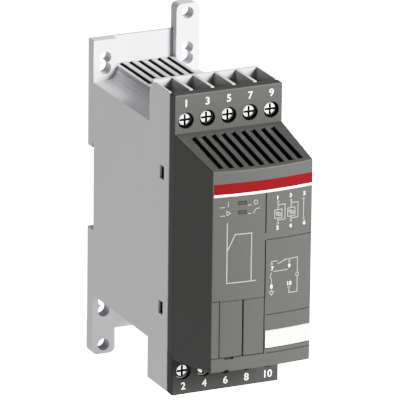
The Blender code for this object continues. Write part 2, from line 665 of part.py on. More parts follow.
def cut_rail_channel(housing):
    """The 35 mm rail channel with its fixed top hook, the latch guide and the spring's post."""
    far = HALF_WIDTH + PAST
    channel = ((-far, 0, CHANNEL_BOTTOM), (far, REAR + PAST, CHANNEL_TOP - HOOK_REACH))
    apply_tool(housing, boxes_tool("rail_channel", [channel]))
    undercut = ((-far, -SEAT_RELIEF, SEAT_TOP), (far, HOOK_FRONT, CHANNEL_TOP))
    apply_tool(housing, boxes_tool("rail_hook_undercut", [undercut]))
    relief = ((-far, -SEAT_RELIEF, CHANNEL_BOTTOM), (far, HOOK_FRONT, -SEAT_TOP))
    apply_tool(housing, boxes_tool("seat_relief", [relief]))
    half = LATCH_WIDTH / 2 + PIECE_GAP
    guide = ((-half, LATCH_FRONT - PIECE_GAP, BLOCK_BOTTOM - PAST), (half, PLATE_FRONT, 0))
    apply_tool(housing, boxes_tool("latch_guide", [guide]))
    opening = half - LATCH_LIP
    mouth = ((-opening, PLATE_FRONT - PAST / 10, VENT_BOTTOM + HOUSING_WALL), (opening, REAR + PAST, 0))
    apply_tool(housing, boxes_tool("latch_mouth", [mouth]))
    reach = SPRING_MEAN_RADIUS + SPRING_WIRE_RADIUS + PIECE_GAP
    seat = ((-reach, LATCH_Y - reach, SPRING_POST_Z), (reach, LATCH_Y, SPRING_TOP + HOOK_REACH))
    apply_tool(housing, boxes_tool("spring_recess", [seat]))
    post_top = SPRING_POST_Z + SPRING_POST_HEIGHT
    post = ((-reach, LATCH_Y - reach - PIECE_GAP, SPRING_POST_Z), (reach, PLATE_FRONT, post_top))
    apply_tool(housing, boxes_tool("spring_post", [post]), "UNION")


def cut_clip_windows(housing):
    """Four windows in the side walls, where the cover's hooks show."""
    windows = []
    for side in (-1, 1):
        for z in (CLIP_UPPER_Z, CLIP_LOWER_Z):
            x0, x1 = span(side * CLIP_ARM_INNER, side * (HALF_WIDTH + PAST))
            half = CLIP_WINDOW_HEIGHT / 2
            windows.append(((x0, CLIP_WINDOW_FRONT, z - half), (x1, CLIP_WINDOW_BACK, z + half)))
    apply_tool(housing, boxes_tool("clip_windows", windows))


def build_cover():
    """Dark grey front cover: terminal faces, tapered nose with louvres, recesses and snap arms."""
    mesh = bmesh.new()
    add_box(mesh, (-HALF_WIDTH, TERMINAL_FACE, BLOCK_BOTTOM), (HALF_WIDTH, PARTING, BLOCK_TOP))
    cover = piece("front_cover", mesh, "dark_grey_plastic")
    round_edges(cover, COVER_EDGE)
    join_nose(cover)
    hollow_cover(cover)
    join_front_pockets(cover)
    join_snap_arms(cover)
    cut_screw_holes(cover)
    cut_louvres(cover)
    cut_front_lines(cover)
    cut_lamp_holes(cover)


def nose_rect(depth, inset):
    """The nose's x0, x1, z0, z1 at a depth, moved inwards by an inset."""
    share = depth / NOSE_LENGTH
    half = NOSE_FRONT_WIDTH / 2 + share * (HALF_WIDTH - NOSE_ROOT_INSET - NOSE_FRONT_WIDTH / 2)
    bottom = NOSE_FRONT_BOTTOM + share * (NOSE_ROOT_BOTTOM - NOSE_FRONT_BOTTOM)
    top = NOSE_FRONT_TOP + share * (NOSE_ROOT_TOP - NOSE_FRONT_TOP)
    return (inset - half, half - inset, bottom + inset, top - inset)


def nose_rings(wall, end):
    """Rings of the nose from left to right, moved inwards by a wall, from its bowed front to a depth."""
    half = nose_rect(FRONT_BOW + wall, wall)[1]
    _, end_half, end_bottom, end_top = nose_rect(end, wall)
    rings = []
    for i in range(BOW_STEPS + 1):
        share = 2 * i / BOW_STEPS - 1
        x, depth = share * half, bow(share * half) + wall
        _, _, bottom, top = nose_rect(depth, wall)
        y, end_x, end_y = FRONT + depth, share * end_half, FRONT + end
        rings.append(((x, y, bottom), (x, y, top), (end_x, end_y, end_top), (end_x, end_y, end_bottom)))
    return rings


def join_nose(cover):
    """The nose, which grows from its bowed front to its root at the terminal faces."""
    mesh = bmesh.new()
    add_rings(mesh, nose_rings(0, NOSE_LENGTH + COVER_WALL / 2))
    nose = tool("nose", mesh)
    round_edges(nose, COVER_EDGE)
    apply_tool(cover, nose, "UNION")


def hollow_cover(cover):
    """Open the cover from behind: a shallow tray behind the terminals and the inside of the nose."""
    tray_x = HALF_WIDTH - COVER_WALL
    tray = (
        (-tray_x, TERMINAL_FACE + COVER_WALL, BLOCK_BOTTOM + COVER_WALL),
        (tray_x, PARTING + PAST, BLOCK_TOP - COVER_WALL),
    )
    apply_tool(cover, boxes_tool("terminal_tray", [tray]))
    mesh = bmesh.new()
    add_rings(mesh, nose_rings(COVER_WALL, NOSE_LENGTH + COVER_WALL + PIECE_GAP))
    apply_tool(cover, tool("nose_cavity", mesh))


def join_front_pockets(cover):
    """Walls behind the blank covers and the marker plate, and the recesses that hold those."""
    skin = COVER_WALL / 2
    blank_back = BLANK_THICKNESS + PIECE_GAP
    marker_back = MARKER_THICKNESS + PIECE_GAP
    marker_left = COLUMN_X + GROOVE_WIDTH / 2
    x0, x1, _, _ = nose_rect(0, skin)
    foot = BLANK_BOTTOM - POCKET_LIP
    blank_wall = (x0, COLUMN_X + POCKET_LIP, foot, BLANK_TOP + POCKET_LIP, skin, blank_back + COVER_WALL)
    marker_wall = (marker_left - POCKET_LIP, x1, foot, MARKER_TOP + POCKET_LIP, skin, marker_back + COVER_WALL)
    apply_tool(cover, bowed_tool("blank_wall", [blank_wall]), "UNION")
    apply_tool(cover, bowed_tool("marker_wall", [marker_wall]), "UNION")
    blank_recess = (BLANK_LEFT, COLUMN_X, BLANK_BOTTOM, BLANK_TOP, -PAST, blank_back)
    marker_recess = (marker_left, HALF_WIDTH + PAST, MARKER_BOTTOM, MARKER_TOP, -PAST, marker_back)
    apply_tool(cover, bowed_tool("blank_recess", [blank_recess]))
    apply_tool(cover, bowed_tool("marker_recess", [marker_recess]))


def join_snap_arms(cover):
    """Four arms that run back inside the housing's side walls and hook into its windows."""
    half = CLIP_ARM_WIDTH / 2
    inner = half - PIECE_GAP
    start = TERMINAL_FACE - CLIP_ARM_START
    for side, hand in ((-1, "left"), (1, "right")):
        for z, word in ((CLIP_UPPER_Z, "upper"), (CLIP_LOWER_Z, "lower")):
            name = word + "_" + hand
            x0, x1 = span(side * CLIP_ARM_INNER, side * CLIP_ARM_OUTER)
            arm = ((x0, start, z - half), (x1, CLIP_WINDOW_BACK, z + half))
            apply_tool(cover, boxes_tool("snap_arm_" + name, [arm]), "UNION")
            near = side * (CLIP_ARM_INNER + CLIP_ARM_OUTER) / 2
            x0, x1 = span(near, side * (HALF_WIDTH - COVER_WALL / 2))
            root = ((x0, start + PIECE_GAP, z - inner), (x1, PARTING - PIECE_GAP, z + inner))
            apply_tool(cover, boxes_tool("snap_root_" + name, [root]), "UNION")
            tall = span(near, side * (HALF_WIDTH - CLIP_HOOK_INSET))
            low = span(near, side * INNER_X)
            hook = bmesh.new()
            front, back = CLIP_WINDOW_FRONT + PIECE_GAP, CLIP_WINDOW_BACK - PIECE_GAP
            add_frustum(hook, front, (*tall, z - inner, z + inner), back, (*low, z - inner, z + inner))
            apply_tool(cover, tool("snap_hook_" + name, hook), "UNION")


def cut_screw_holes(cover):
    """Ten round holes over the terminal screws."""
    mesh = bmesh.new()
    for _, z, _, _, _ in decks():
        for x in terminal_xs():
            add_rod(mesh, SCREW_HOLE_RADIUS, TERMINAL_FACE - PAST, PARTING + PAST, x, z)
    apply_tool(cover, tool("screw_holes", mesh))


def cut_louvres(cover):
    """Nine slots through the nose's sloped top and through its underside."""
    slots = []
    deep = COVER_WALL * 3
    end = TERMINAL_FACE - LOUVRE_END
    for x0, x1 in slot_row(LOUVRE_COUNT, LOUVRE_PITCH, LOUVRE_WIDTH):
        front = FRONT + bow((x0 + x1) / 2) + LOUVRE_FRONT
        slots.append(((x0, front, NOSE_FRONT_TOP - deep), (x1, end, NOSE_ROOT_TOP + PAST)))
        front = FRONT + UNDER_LOUVRE_FRONT
        slots.append(((x0, front, NOSE_ROOT_BOTTOM - PAST), (x1, end, NOSE_FRONT_BOTTOM + deep)))
    apply_tool(cover, boxes_tool("louvres", slots))


def cut_front_lines(cover):
    """The fine lines between the fields of the front, and the slots for prying out the blank."""
    half = GROOVE_WIDTH / 2
    edge = NOSE_FRONT_WIDTH / 2 + PAST
    start = COLUMN_X + half + PIECE_GAP
    floor = GROOVE_DEPTH
    upright = [
        (COLUMN_X - half, COLUMN_X + half, CIRCUIT_BREAK, GRAPH_TOP, -PAST, floor),
        (COLUMN_X - half, COLUMN_X + half, BLANK_TOP - half, CIRCUIT_LINE, -PAST, floor),
    ]
    level = [
        (start, edge, CIRCUIT_LINE - half, CIRCUIT_LINE + half, -PAST, floor),
        (start, edge, NOTE_LINE - half, NOTE_LINE + half, -PAST, floor),
        (-edge, BLANK_LEFT + half, BLANK_TOP - half, BLANK_TOP + half, -PAST, floor),
        (-edge, BLANK_LEFT + half, BLANK_BOTTOM - half, BLANK_BOTTOM + half, -PAST, floor),
        (start, edge, BLANK_BOTTOM - half, BLANK_BOTTOM + half, -PAST, floor),
    ]
    notch_top = NOSE_FRONT_BOTTOM + PRY_HEIGHT
    notch_right = PRY_LEFT + PRY_WIDTH / 2
    pry = [
        (PRY_LEFT, PRY_LEFT + PRY_WIDTH, BLANK_BOTTOM - PRY_HEIGHT, BLANK_BOTTOM + half, -PAST, BLANK_THICKNESS),
        (PRY_LEFT, notch_right, NOSE_FRONT_BOTTOM - PAST, notch_top, -PAST, BLANK_THICKNESS),
    ]
    apply_tool(cover, bowed_tool("upright_lines", upright))
    apply_tool(cover, bowed_tool("level_lines", level))
    apply_tool(cover, bowed_tool("pry_slots", pry))


def lamp_heights():
    """Height of each indicator and its name."""
    return (("on_ready", LAMP_UPPER_Z), ("run_tor", LAMP_UPPER_Z - LAMP_PITCH))


def cut_lamp_holes(cover):
    """Rectangular holes for the two light pipes."""
    holes = []
    half_x, half_z = LAMP_WIDTH / 2, LAMP_HEIGHT / 2
    for _, z in lamp_heights():
        holes.append((LAMP_X - half_x, LAMP_X + half_x, z - half_z, z + half_z, -PAST, COVER_WALL + PIECE_GAP))
    apply_tool(cover, bowed_tool("lamp_holes", holes))


def build_front_fittings():
    """The two blank covers, the marker plate, the light pipes and the lamps behind them."""
    edge = COVER_EDGE / 2
    fit = PIECE_GAP / 2 + GROOVE_WIDTH / 8
    ends = ((BLANK_LEFT + fit, BLANK_SPLIT - fit), (BLANK_SPLIT + fit, COLUMN_X - fit))
    for word, (x0, x1) in zip(("left", "right"), ends):
        blank = (x0, x1, BLANK_BOTTOM + fit, BLANK_TOP - fit, 0, BLANK_THICKNESS)
        bowed_piece(word + "_blank_cover", blank, "blank_plastic", edge)
    left = COLUMN_X + GROOVE_WIDTH / 2 + PIECE_GAP
    right = nose_rect(FRONT_BOW, 0)[1]
    plate = (left, right, MARKER_BOTTOM + PIECE_GAP, MARKER_TOP - PIECE_GAP, 0, MARKER_THICKNESS)
    bowed_piece("marker_plate", plate, "white_plastic")
    for word, z in lamp_heights():
        half_x, half_z = LAMP_WIDTH / 2 - PIECE_GAP / 2, LAMP_HEIGHT / 2 - PIECE_GAP / 2
        pipe = (LAMP_X - half_x, LAMP_X + half_x, z - half_z, z + half_z, 0, LAMP_LENGTH)
        bowed_piece(word + "_light_pipe", pipe, "light_pipe")
        low = (LAMP_X - LED_WIDTH / 2, LED_FRONT, z - LAMP_HEIGHT / 2)
        high = (LAMP_X + LED_WIDTH / 2, LED_FRONT + LED_LENGTH, z + LAMP_HEIGHT / 2)
        box_piece(word + "_led", low, high, "led_body")


def screw_mesh():
    """One terminal screw about the Y axis, its head's face at y = 0: turned form with a cross and slot."""
    profile = [
        (0.0, 0.0),
        (HEAD_RADIUS - HEAD_DOME, 0.0),
        (HEAD_RADIUS, HEAD_DOME),
        (HEAD_RADIUS, HEAD_THICKNESS),
        (SHANK_RADIUS, HEAD_THICKNESS),
        (SHANK_RADIUS, SCREW_TIP - HEAD_FRONT),
        (0.0, SCREW_TIP - HEAD_FRONT),
    ]
    data = bpy.data.meshes.new("terminal_screw")
    count = len(profile)
    points = [(r, y, 0.0) for r, y in profile]
    data.from_pydata(points, [(i, i + 1) for i in range(count - 1)], [])
    screw = bpy.data.objects.new("terminal_screw", data)
    CUTTERS.objects.link(screw)
    turned = screw.modifiers.new("turned", "SCREW")
    turned.axis = "Y"
    turned.steps = SCREW_SIDES
    turned.render_steps = SCREW_SIDES
    turned.use_merge_vertices = True
    turned.merge_threshold = 0.00001
    turned.use_normal_calculate = True
    half, width = DRIVE_LENGTH / 2, DRIVE_WIDTH / 2
    level = boxes_tool("drive_slot_level", [((-half, -PAST, -width), (half, DRIVE_DEPTH, width))])
    upright = boxes_tool("drive_slot_upright", [((-width, -PAST, -half), (width, DRIVE_DEPTH * 0.9, half))])
    apply_tool(screw, level)
    apply_tool(screw, upright)
    data = baked(screw)
    for used in (level, upright):
        bpy.data.objects.remove(used, do_unlink=True)
    return data


def clamp_mesh():
    """One lifting clamp about its screw's axis, its front face at y = 0: a band open along Z."""
    half_x, half_z = CLAMP_WIDTH / 2, CLAMP_HEIGHT / 2
    length = CLAMP_BACK - CLAMP_FRONT
    mesh = bmesh.new()
    add_box(mesh, (-half_x, 0, -half_z), (half_x, length, half_z))
    clamp = make_object("clamp", mesh, CUTTERS)
    round_edges(clamp, CLAMP_WALL / 3, 1)
    inner = half_x - CLAMP_WALL
    window = ((-inner, CLAMP_FRONT_WALL, -half_z - PAST), (inner, length - CLAMP_WALL, half_z + PAST))
    window = boxes_tool("clamp_window", [window])
    mesh = bmesh.new()
    add_rod(mesh, SHANK_RADIUS + PIECE_GAP, -PAST, CLAMP_FRONT_WALL + PIECE_GAP, 0, 0, SCREW_SIDES)
    hole = tool("clamp_hole", mesh)
    apply_tool(clamp, window)
    apply_tool(clamp, hole)
    data = baked(clamp)
    for used in (window, hole):
        bpy.data.objects.remove(used, do_unlink=True)
    return data


def shared_piece(name, data, surface, place):
    """A piece that shares its mesh with its likes."""
    if not data.materials:
        data.materials.append(SURFACES[surface])
    made = bpy.data.objects.new(name, data)
    made.location = place
    PIECES.objects.link(made)


def build_terminals():
    """Screws, clamps and contact bars of both decks. The third bar runs through from top to bottom."""
    screw, clamp = screw_mesh(), clamp_mesh()
    half = BAR_WIDTH / 2
    through = TERMINAL_COUNT // 2
    ends = {"upper": BOARD_TOP - BAR_OVERLAP, "lower": BOARD_BOTTOM + BAR_OVERLAP}
    for deck, z, outward, _, _ in decks():
        for i, x in enumerate(terminal_xs()):
            number = str(i + 1)
            shared_piece(deck + "_screw_" + number, screw, "zinc_steel", (x, HEAD_FRONT, z))
            shared_piece(deck + "_clamp_" + number, clamp, "zinc_steel", (x, CLAMP_FRONT, z))
            if i != through:
                z0, z1 = span(z + outward * BAR_PAST_SCREW, ends[deck])
                box_piece(deck + "_bar_" + number, (x - half, BAR_FRONT, z0), (x + half, BAR_BACK, z1),
                          "tinned_copper")
    x = terminal_xs()[through]
    low = (x - half, BAR_FRONT, LOWER_SCREW_Z - BAR_PAST_SCREW)
    box_piece("phase_3_bar", low, (x + half, BAR_BACK, UPPER_SCREW_Z + BAR_PAST_SCREW), "tinned_copper")


def build_boards():
    """The control board in the nose, the power board behind the bars and the board that links them."""
    low = (-POWER_BOARD_HALF, POWER_BOARD_FRONT, BOARD_BOTTOM)
    box_piece("power_board", low, (POWER_BOARD_HALF, POWER_BOARD_BACK, BOARD_TOP), "board_green")
    half_x = nose_rect(CONTROL_BOARD_DEPTH, COVER_WALL + PIECE_GAP)[1]
    low = (-half_x, CONTROL_BOARD_FRONT, CONTROL_BOARD_BOTTOM)
    box_piece("control_board", low, (half_x, CONTROL_BOARD_BACK, CONTROL_BOARD_TOP), "board_green")
    half_z = LINK_BOARD_HEIGHT / 2
    low = (LINK_BOARD_X, CONTROL_BOARD_BACK + PIECE_GAP, -half_z)
    high = (LINK_BOARD_X + BOARD_THICKNESS, POWER_BOARD_FRONT - PIECE_GAP, half_z)
    box_piece("link_board", low, high, "board_green")


def centred_box(name, x, z, width, height, start, end, surface, edge):
    """A box piece given by its middle in x and z and by its two ends in y."""
    low = (x - width / 2, start, z - height / 2)
    box_piece(name, low, (x + width / 2, end, z + height / 2), surface, edge)


def build_board_parts():
    """Relays behind the power board, capacitors before it and the transformer on the control board."""
    edge = COVER_EDGE
    start = POWER_BOARD_BACK + PIECE_GAP
    for number, side in (("1", -1), ("2", 1)):
        centred_box("bypass_relay_" + number, side * RELAY_X, RELAY_Z, RELAY_WIDTH, RELAY_HEIGHT,
                    start, RELAY_BACK, "relay_black", edge)
        mesh = bmesh.new()
        z = CAPACITOR_Z + side * CAPACITOR_SPACING / 2
        end = POWER_BOARD_FRONT - PIECE_GAP
        add_rod(mesh, CAPACITOR_RADIUS, end - CAPACITOR_LENGTH, end, CAPACITOR_X, z, 20)
        origin = (CAPACITOR_X, end, z)
        round_edges(piece("capacitor_" + number, mesh, "capacitor_sleeve", origin), edge, 1)
    start = CONTROL_BOARD_BACK + PIECE_GAP
    centred_box("supply_transformer", TRANSFORMER_X, TRANSFORMER_Z, TRANSFORMER_WIDTH, TRANSFORMER_HEIGHT,
                start, start + TRANSFORMER_LENGTH, "transformer_blue", edge)


def build_power_parts():
    """The finned heat sink, the two thyristor modules on it and their screws."""
    mesh = bmesh.new()
    add_box(mesh, (-SINK_HALF, SINK_FRONT, BOARD_BOTTOM), (SINK_HALF, SINK_BACK, BOARD_TOP))
    sink = piece("heat_sink", mesh, "aluminium")
    plate_back = SINK_FRONT + SINK_PLATE_THICKNESS
    pitch = (2 * SINK_HALF - FIN_THICKNESS) / (FIN_COUNT - 1)
    channels = []
    for x0, x1 in slot_row(FIN_COUNT - 1, pitch, pitch - FIN_THICKNESS):
        channels.append(((x0, plate_back, BOARD_BOTTOM - PAST), (x1, SINK_BACK + PAST, BOARD_TOP + PAST)))
    apply_tool(sink, boxes_tool("fin_channels", channels))
    holes = bmesh.new()
    back = SINK_FRONT - PIECE_GAP
    front = back - THYRISTOR_LENGTH
    tip = SINK_FRONT + MODULE_SCREW_GRIP
    for number, side in (("1", -1), ("2", 1)):
        x = side * THYRISTOR_X
        mesh = bmesh.new()
        low = (x - THYRISTOR_WIDTH / 2, front, THYRISTOR_Z - THYRISTOR_HEIGHT / 2)
        add_box(mesh, low, (x + THYRISTOR_WIDTH / 2, back, THYRISTOR_Z + THYRISTOR_HEIGHT / 2))
        module = piece("thyristor_module_" + number, mesh, "module_grey", (x, back, THYRISTOR_Z))
        bore = bmesh.new()
        radius = MODULE_SCREW_RADIUS + PIECE_GAP
        add_rod(bore, radius, front - PAST, back + PAST, x, THYRISTOR_Z, SCREW_SIDES)
        apply_tool(module, tool("module_bore_" + number, bore))
        legs = []
        leg_top = THYRISTOR_Z - LEG_DROP
        for x0, x1 in slot_row(LEG_COUNT, LEG_PITCH, LEG_WIDTH):
            low = (x + x0, POWER_BOARD_BACK + PIECE_GAP, leg_top - LEG_WIDTH)
            legs.append((low, (x + x1, back - THYRISTOR_LENGTH / 2, leg_top)))
        apply_tool(module, boxes_tool("module_legs_" + number, legs), "UNION")
        add_rod(holes, radius, SINK_FRONT - PAST, tip + PIECE_GAP, x, THYRISTOR_Z, SCREW_SIDES)
        mesh = bmesh.new()
        head_back = front - PIECE_GAP
        add_rod(mesh, MODULE_SCREW_RADIUS, head_back - PIECE_GAP, tip, x, THYRISTOR_Z, SCREW_SIDES)
        screw = piece("module_screw_" + number, mesh, "zinc_steel", (x, head_back, THYRISTOR_Z))
        head = bmesh.new()
        add_rod(head, MODULE_SCREW_HEAD, head_back - MODULE_SCREW_HEAD_HEIGHT, head_back, x, THYRISTOR_Z, SCREW_SIDES)
        apply_tool(screw, tool("module_head_" + number, head), "UNION")
    apply_tool(sink, tool("sink_holes", holes))


def build_latch():
    """The sliding rail latch with its pull tab, and the coil spring in its window."""
    half = LATCH_WIDTH / 2
    shoulder = VENT_BOTTOM
    mesh = bmesh.new()
    add_box(mesh, (-half, LATCH_FRONT, shoulder), (half, LATCH_BACK, LATCH_TOP))
    middle = (0, LATCH_BACK, LATCH_TOP)
    bevel_edges_at(mesh, [middle], LATCH_THICKNESS - RAIL_LIP, 1)
    latch = piece("rail_latch", mesh, "latch_black", (0, LATCH_Y, LATCH_TOP))
    tab_half = LATCH_TAB_WIDTH / 2
    tab = ((-tab_half, LATCH_FRONT, LATCH_TAB_END), (tab_half, LATCH_BACK, shoulder + HOOK_REACH))
    apply_tool(latch, boxes_tool("latch_tab", [tab]), "UNION")
    reach = SPRING_MEAN_RADIUS + SPRING_WIRE_RADIUS + 2 * PIECE_GAP
    window = (
        (-reach, LATCH_FRONT - PAST, SPRING_POST_Z - PIECE_GAP),
        (reach, LATCH_BACK + PAST, SPRING_TOP + PIECE_GAP),
    )
    apply_tool(latch, boxes_tool("latch_window", [window]))
    slot_z = (LATCH_TAB_END + shoulder) / 2
    pull = (
        (-tab_half / 2, LATCH_FRONT - PAST, slot_z - LATCH_SLOT_HEIGHT / 2),
        (tab_half / 2, LATCH_BACK + PAST, slot_z + LATCH_SLOT_HEIGHT / 2),
    )
    apply_tool(latch, boxes_tool("latch_pull_slot", [pull]))
    build_spring()


def build_spring():
    """A compression spring: a helix of wire with its two end turns closed up."""
    curve = bpy.data.curves.new("latch_spring", "CURVE")
    curve.dimensions = "3D"
    curve.bevel_depth = SPRING_WIRE_RADIUS
    curve.bevel_resolution = 2
    curve.use_fill_caps = True
    spline = curve.splines.new("POLY")
    count = SPRING_TURNS * SPRING_POINTS_PER_TURN + 1
    spline.points.add(count - 1)
    low = SPRING_WIRE_RADIUS
    rise = SPRING_LENGTH - 2 * SPRING_WIRE_RADIUS
    for i in range(count):
        turn = i / SPRING_POINTS_PER_TURN
        angle = 2 * math.pi * turn
        x = SPRING_MEAN_RADIUS * math.cos(angle)
        y = SPRING_MEAN_RADIUS * math.sin(angle)
        spline.points[i].co = (x, y, low + rise * turn / SPRING_TURNS, 1.0)
    curve.materials.append(SURFACES["spring_steel"])
    spring = bpy.data.objects.new("latch_spring", curve)
    spring.location = (0, LATCH_Y, SPRING_BOTTOM)
    PIECES.objects.link(spring)


build_housing()
build_cover()
build_front_fittings()
build_terminals()
build_boards()
build_board_parts()
build_power_parts()
build_latch()
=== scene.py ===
import json
import math

import bpy
import numpy as np
from mathutils import Matrix, Vector


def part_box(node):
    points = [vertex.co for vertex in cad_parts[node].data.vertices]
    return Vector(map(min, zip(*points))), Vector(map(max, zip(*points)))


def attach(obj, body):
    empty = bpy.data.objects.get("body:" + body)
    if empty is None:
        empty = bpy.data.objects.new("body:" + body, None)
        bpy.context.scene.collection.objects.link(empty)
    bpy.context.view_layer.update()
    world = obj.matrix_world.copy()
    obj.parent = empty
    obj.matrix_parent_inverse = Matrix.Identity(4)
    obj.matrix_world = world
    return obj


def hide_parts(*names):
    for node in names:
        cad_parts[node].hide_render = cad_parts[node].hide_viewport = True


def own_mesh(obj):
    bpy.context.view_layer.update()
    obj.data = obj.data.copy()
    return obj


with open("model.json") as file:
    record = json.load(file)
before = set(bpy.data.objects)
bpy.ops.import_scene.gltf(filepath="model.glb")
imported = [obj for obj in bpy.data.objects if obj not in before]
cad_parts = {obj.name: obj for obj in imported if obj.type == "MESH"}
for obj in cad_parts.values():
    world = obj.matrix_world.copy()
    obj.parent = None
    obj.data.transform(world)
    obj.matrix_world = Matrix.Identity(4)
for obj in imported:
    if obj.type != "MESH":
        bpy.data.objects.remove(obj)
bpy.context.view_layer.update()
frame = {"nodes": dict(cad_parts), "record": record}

# Camera, from a fit to the marked corners of the photograph
CAMERA_YAW = 0.4346108
CAMERA_PITCH = 0.3247709
CAMERA_ROLL = 0.0118286
CAMERA_LENS = 572.22263
CAMERA_SENSOR = 36.0
CAMERA_OFFSET = (0.0232817, -0.0819029, 2.4149779)
CAMERA_CLIP = 50.0
FRONT_SHIFT = 0.108
MID_HEIGHT = 0.0612350

# Film-like tones: pairs of an amount of light and how bright it comes out, so that dark sides stay dark
TONE_WHITE = 2.3
TONE_CURVE = ((0.082, 0.057), (0.235, 0.218), (0.41, 0.425), (0.7, 0.62), (1.0, 0.76), (1.66, 0.93))
COMBINED_CURVE = 3

# Floor and world: the floor looks brighter to the camera than it lights the device
FLOOR_HALF = 6.0
FLOOR_Z = -0.3
FLOOR_TONE = 0.2
FLOOR_ROUGHNESS = 0.9
FLOOR_GLOW = 0.88
FLOOR_GLOW_SEEN = 3.0
WORLD_GLOW = 0.05

# Lights, each by its place, size and power, and the point they look at
TOP_LIGHT = ((-0.15, 0.1, 1.5), 0.9, 9.0)
FRONT_LIGHT = ((0.9, -1.85, 0.8), 0.8, 115.0)
LIGHT_TARGET = (0.0, -0.05, 0.0)

# Places on the device, read from the frame where it has them
COVER_LOW, COVER_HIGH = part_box("front_cover")
FRONT_Y = COVER_LOW[1]
NOSE_DEPTH = 0.0326
NOSE_TOP_Z = 0.0380
NOSE_TOP_SLOPE = 0.0059 / NOSE_DEPTH
TERMINAL_FACE_Y = FRONT_Y + NOSE_DEPTH
BLOCK_REAR_Y = TERMINAL_FACE_Y + 0.0231
BLOCK_TOP_Z = COVER_HIGH[2]
BLOCK_BOTTOM_Z = COVER_LOW[2]

# The bow of the front across its width
FRONT_HALF = 0.0207
FRONT_BOW = 0.0017
BOW_RADIUS = (FRONT_HALF ** 2 + FRONT_BOW ** 2) / (2 * FRONT_BOW)
BOW_STEP = 0.0026

# Shade in general: its tone, how far it stays off the edges around it, and how softly it starts
SHADE_COLOUR = (0.012, 0.012, 0.012)
SHADE_SKIN = 0.0004
SHADE_EDGE = 0.0001

# Shade in the housing: its vents, its wire chambers, its hollow, and the panel that the vents are cut in
VENT_HALF_WIDTH = 0.0124
VENT_REAR_Y = 0.0038
VENT_TOP_Z = 0.0483
VENT_BOTTOM_Z = -0.0504
RAIL_REACH = 0.0200
RAIL_FADE = 0.0005
CHAMBER_HALF_WIDTH = 0.0217
CHAMBER_REAR_WALL = 0.0014
CHAMBER_FADE = 0.009
HOLLOW_HALF_WIDTH = 0.0206
HOLLOW_REAR_Y = -0.0018
HOLLOW_TOP_Z = 0.0410
HOLLOW_BOTTOM_Z = -0.0430
PANEL_HALF_WIDTH = 0.0140
PANEL_REAR_Y = 0.0040
PANEL_DROP = 0.0020
PANEL_RISE = 0.0012
PANEL_SHADE = 0.2

# Shade in the cover: its screw holes, its louvres and its underside
HOLE_RADIUS = 0.0032
HOLE_MARGIN = 0.0002
HOLE_FADE = 0.0004
LOUVRE_SKIN = 0.0003
LOUVRE_HALF_WIDTH = 0.0188
LOUVRE_FRONT_WALL = 0.0015
LOUVRE_REAR_WALL = 0.0005
LOUVRE_BOTTOM_Z = 0.0200
LOUVRE_TOP_Z = 0.06
UNDERSIDE_HALF_WIDTH = 0.0240
UNDERSIDE_FRONT = 0.0003
UNDERSIDE_DEPTH = 0.0200
UNDERSIDE_DROP = 0.0010
UNDERSIDE_TOP_Z = -0.0440
UNDERSIDE_SHADE = 0.38

# The terminal screws, and the shade on their heads: the hole's shadow and the cross
TERMINAL_SCREWS = ("upper_screw_", "lower_screw_")
TERMINALS = 5
TERMINAL_PITCH = 0.0089
PITCHES_TO_ZERO = 10
UPPER_SCREW_Z = 0.0490
LOWER_SCREW_Z = -0.0519
HEAD_FRONT_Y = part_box("upper_screw_1")[0][1]
HEAD_SKIN = 0.00012
HEAD_FADE = 0.0004
SHADOW_SHIFT = 0.00055
SHADOW_RADIUS = 0.0023
SHADOW_FADE = 0.0003
SHADOW_SHADE = 0.85
CROSS_REACH = 0.0015
CROSS_HALF = 0.00045
CROSS_EDGE = 0.0002
CROSS_SHADE = 0.9

# Skins: how much of the roughness follows the fine grain and the slow drift, and how metal streaks stretch
NOISE_MIDDLE = 0.5
GRAIN_SHARE = 0.6
DRIFT_SHARE = 0.4
STREAK_STRETCH = (1.0, 0.12, 1.0)
METAL_DRIFT_SCALE = 120.0

# Print in general
PRINT_LIFT = 0.00003
PRINT_THICKNESS = 0.00004
LINE_WIDTH = 0.00034
THIN_LINE = 0.00026
NUMBER_WEIGHT = 0.00003
NUMBER_SIZE = 0.0041
SMALL_NUMBER_SIZE = 0.0021
UPPER_NUMBER_Z = 0.0557
LOWER_NUMBER_Z = -0.0579

# The stripe and the line below it, across the front
PRINT_LEFT = -0.0202
PRINT_RIGHT = 0.0206
STRIPE_TOP = 0.03315
STRIPE_BOTTOM = 0.02905
LINE_BOTTOM = 0.0281

# The graph of a ramp, as points (x, z) of the front
RAMP_AXES = ((-0.0149, 0.0175), (-0.0149, -0.0063), (-0.0032, -0.0063))
RAMP_COURSE = ((-0.0149, 0.0064), (-0.0117, 0.0129), (-0.00515, 0.01275), (-0.00515, -0.0063))

# The marks beside the indicators, as points (x, z) whose z counts from the indicator's middle
UPPER_MARK_Z = 0.0249
LOWER_MARK_Z = 0.0215
MARK_LEADS = (((-0.0176, -0.0009), (-0.0160, -0.0009)), ((-0.0066, -0.0009), (-0.0056, -0.0009)))
MARK_STROKE = ((-0.0146, -0.0008), (-0.0146, 0.0009))
MARK_RING_X = -0.0036
MARK_RING_RADIUS = 0.0008
MARK_TRIANGLE = ((-0.0152, -0.0008), (-0.0152, 0.0009), (-0.0137, 0.0))
MARK_STEP = ((-0.0046, -0.0008), (-0.0034, 0.0008), (-0.0022, 0.0008))

# The phases' diagram: each switched phase by its number, x, ring heights and number height
SWITCHED_PHASES = ((1, 0.0057, 0.0237, 0.0152, 0.0254), (3, 0.0113, 0.0235, 0.0156, 0.0255))
PLAIN_PHASE_X = 0.0168
PLAIN_PHASE_RINGS = (0.0233, 0.0155)
PLAIN_PHASE_LINE = (0.0227, 0.0161)
RING_RADIUS = 0.0004
RING_GAP = 0.0006

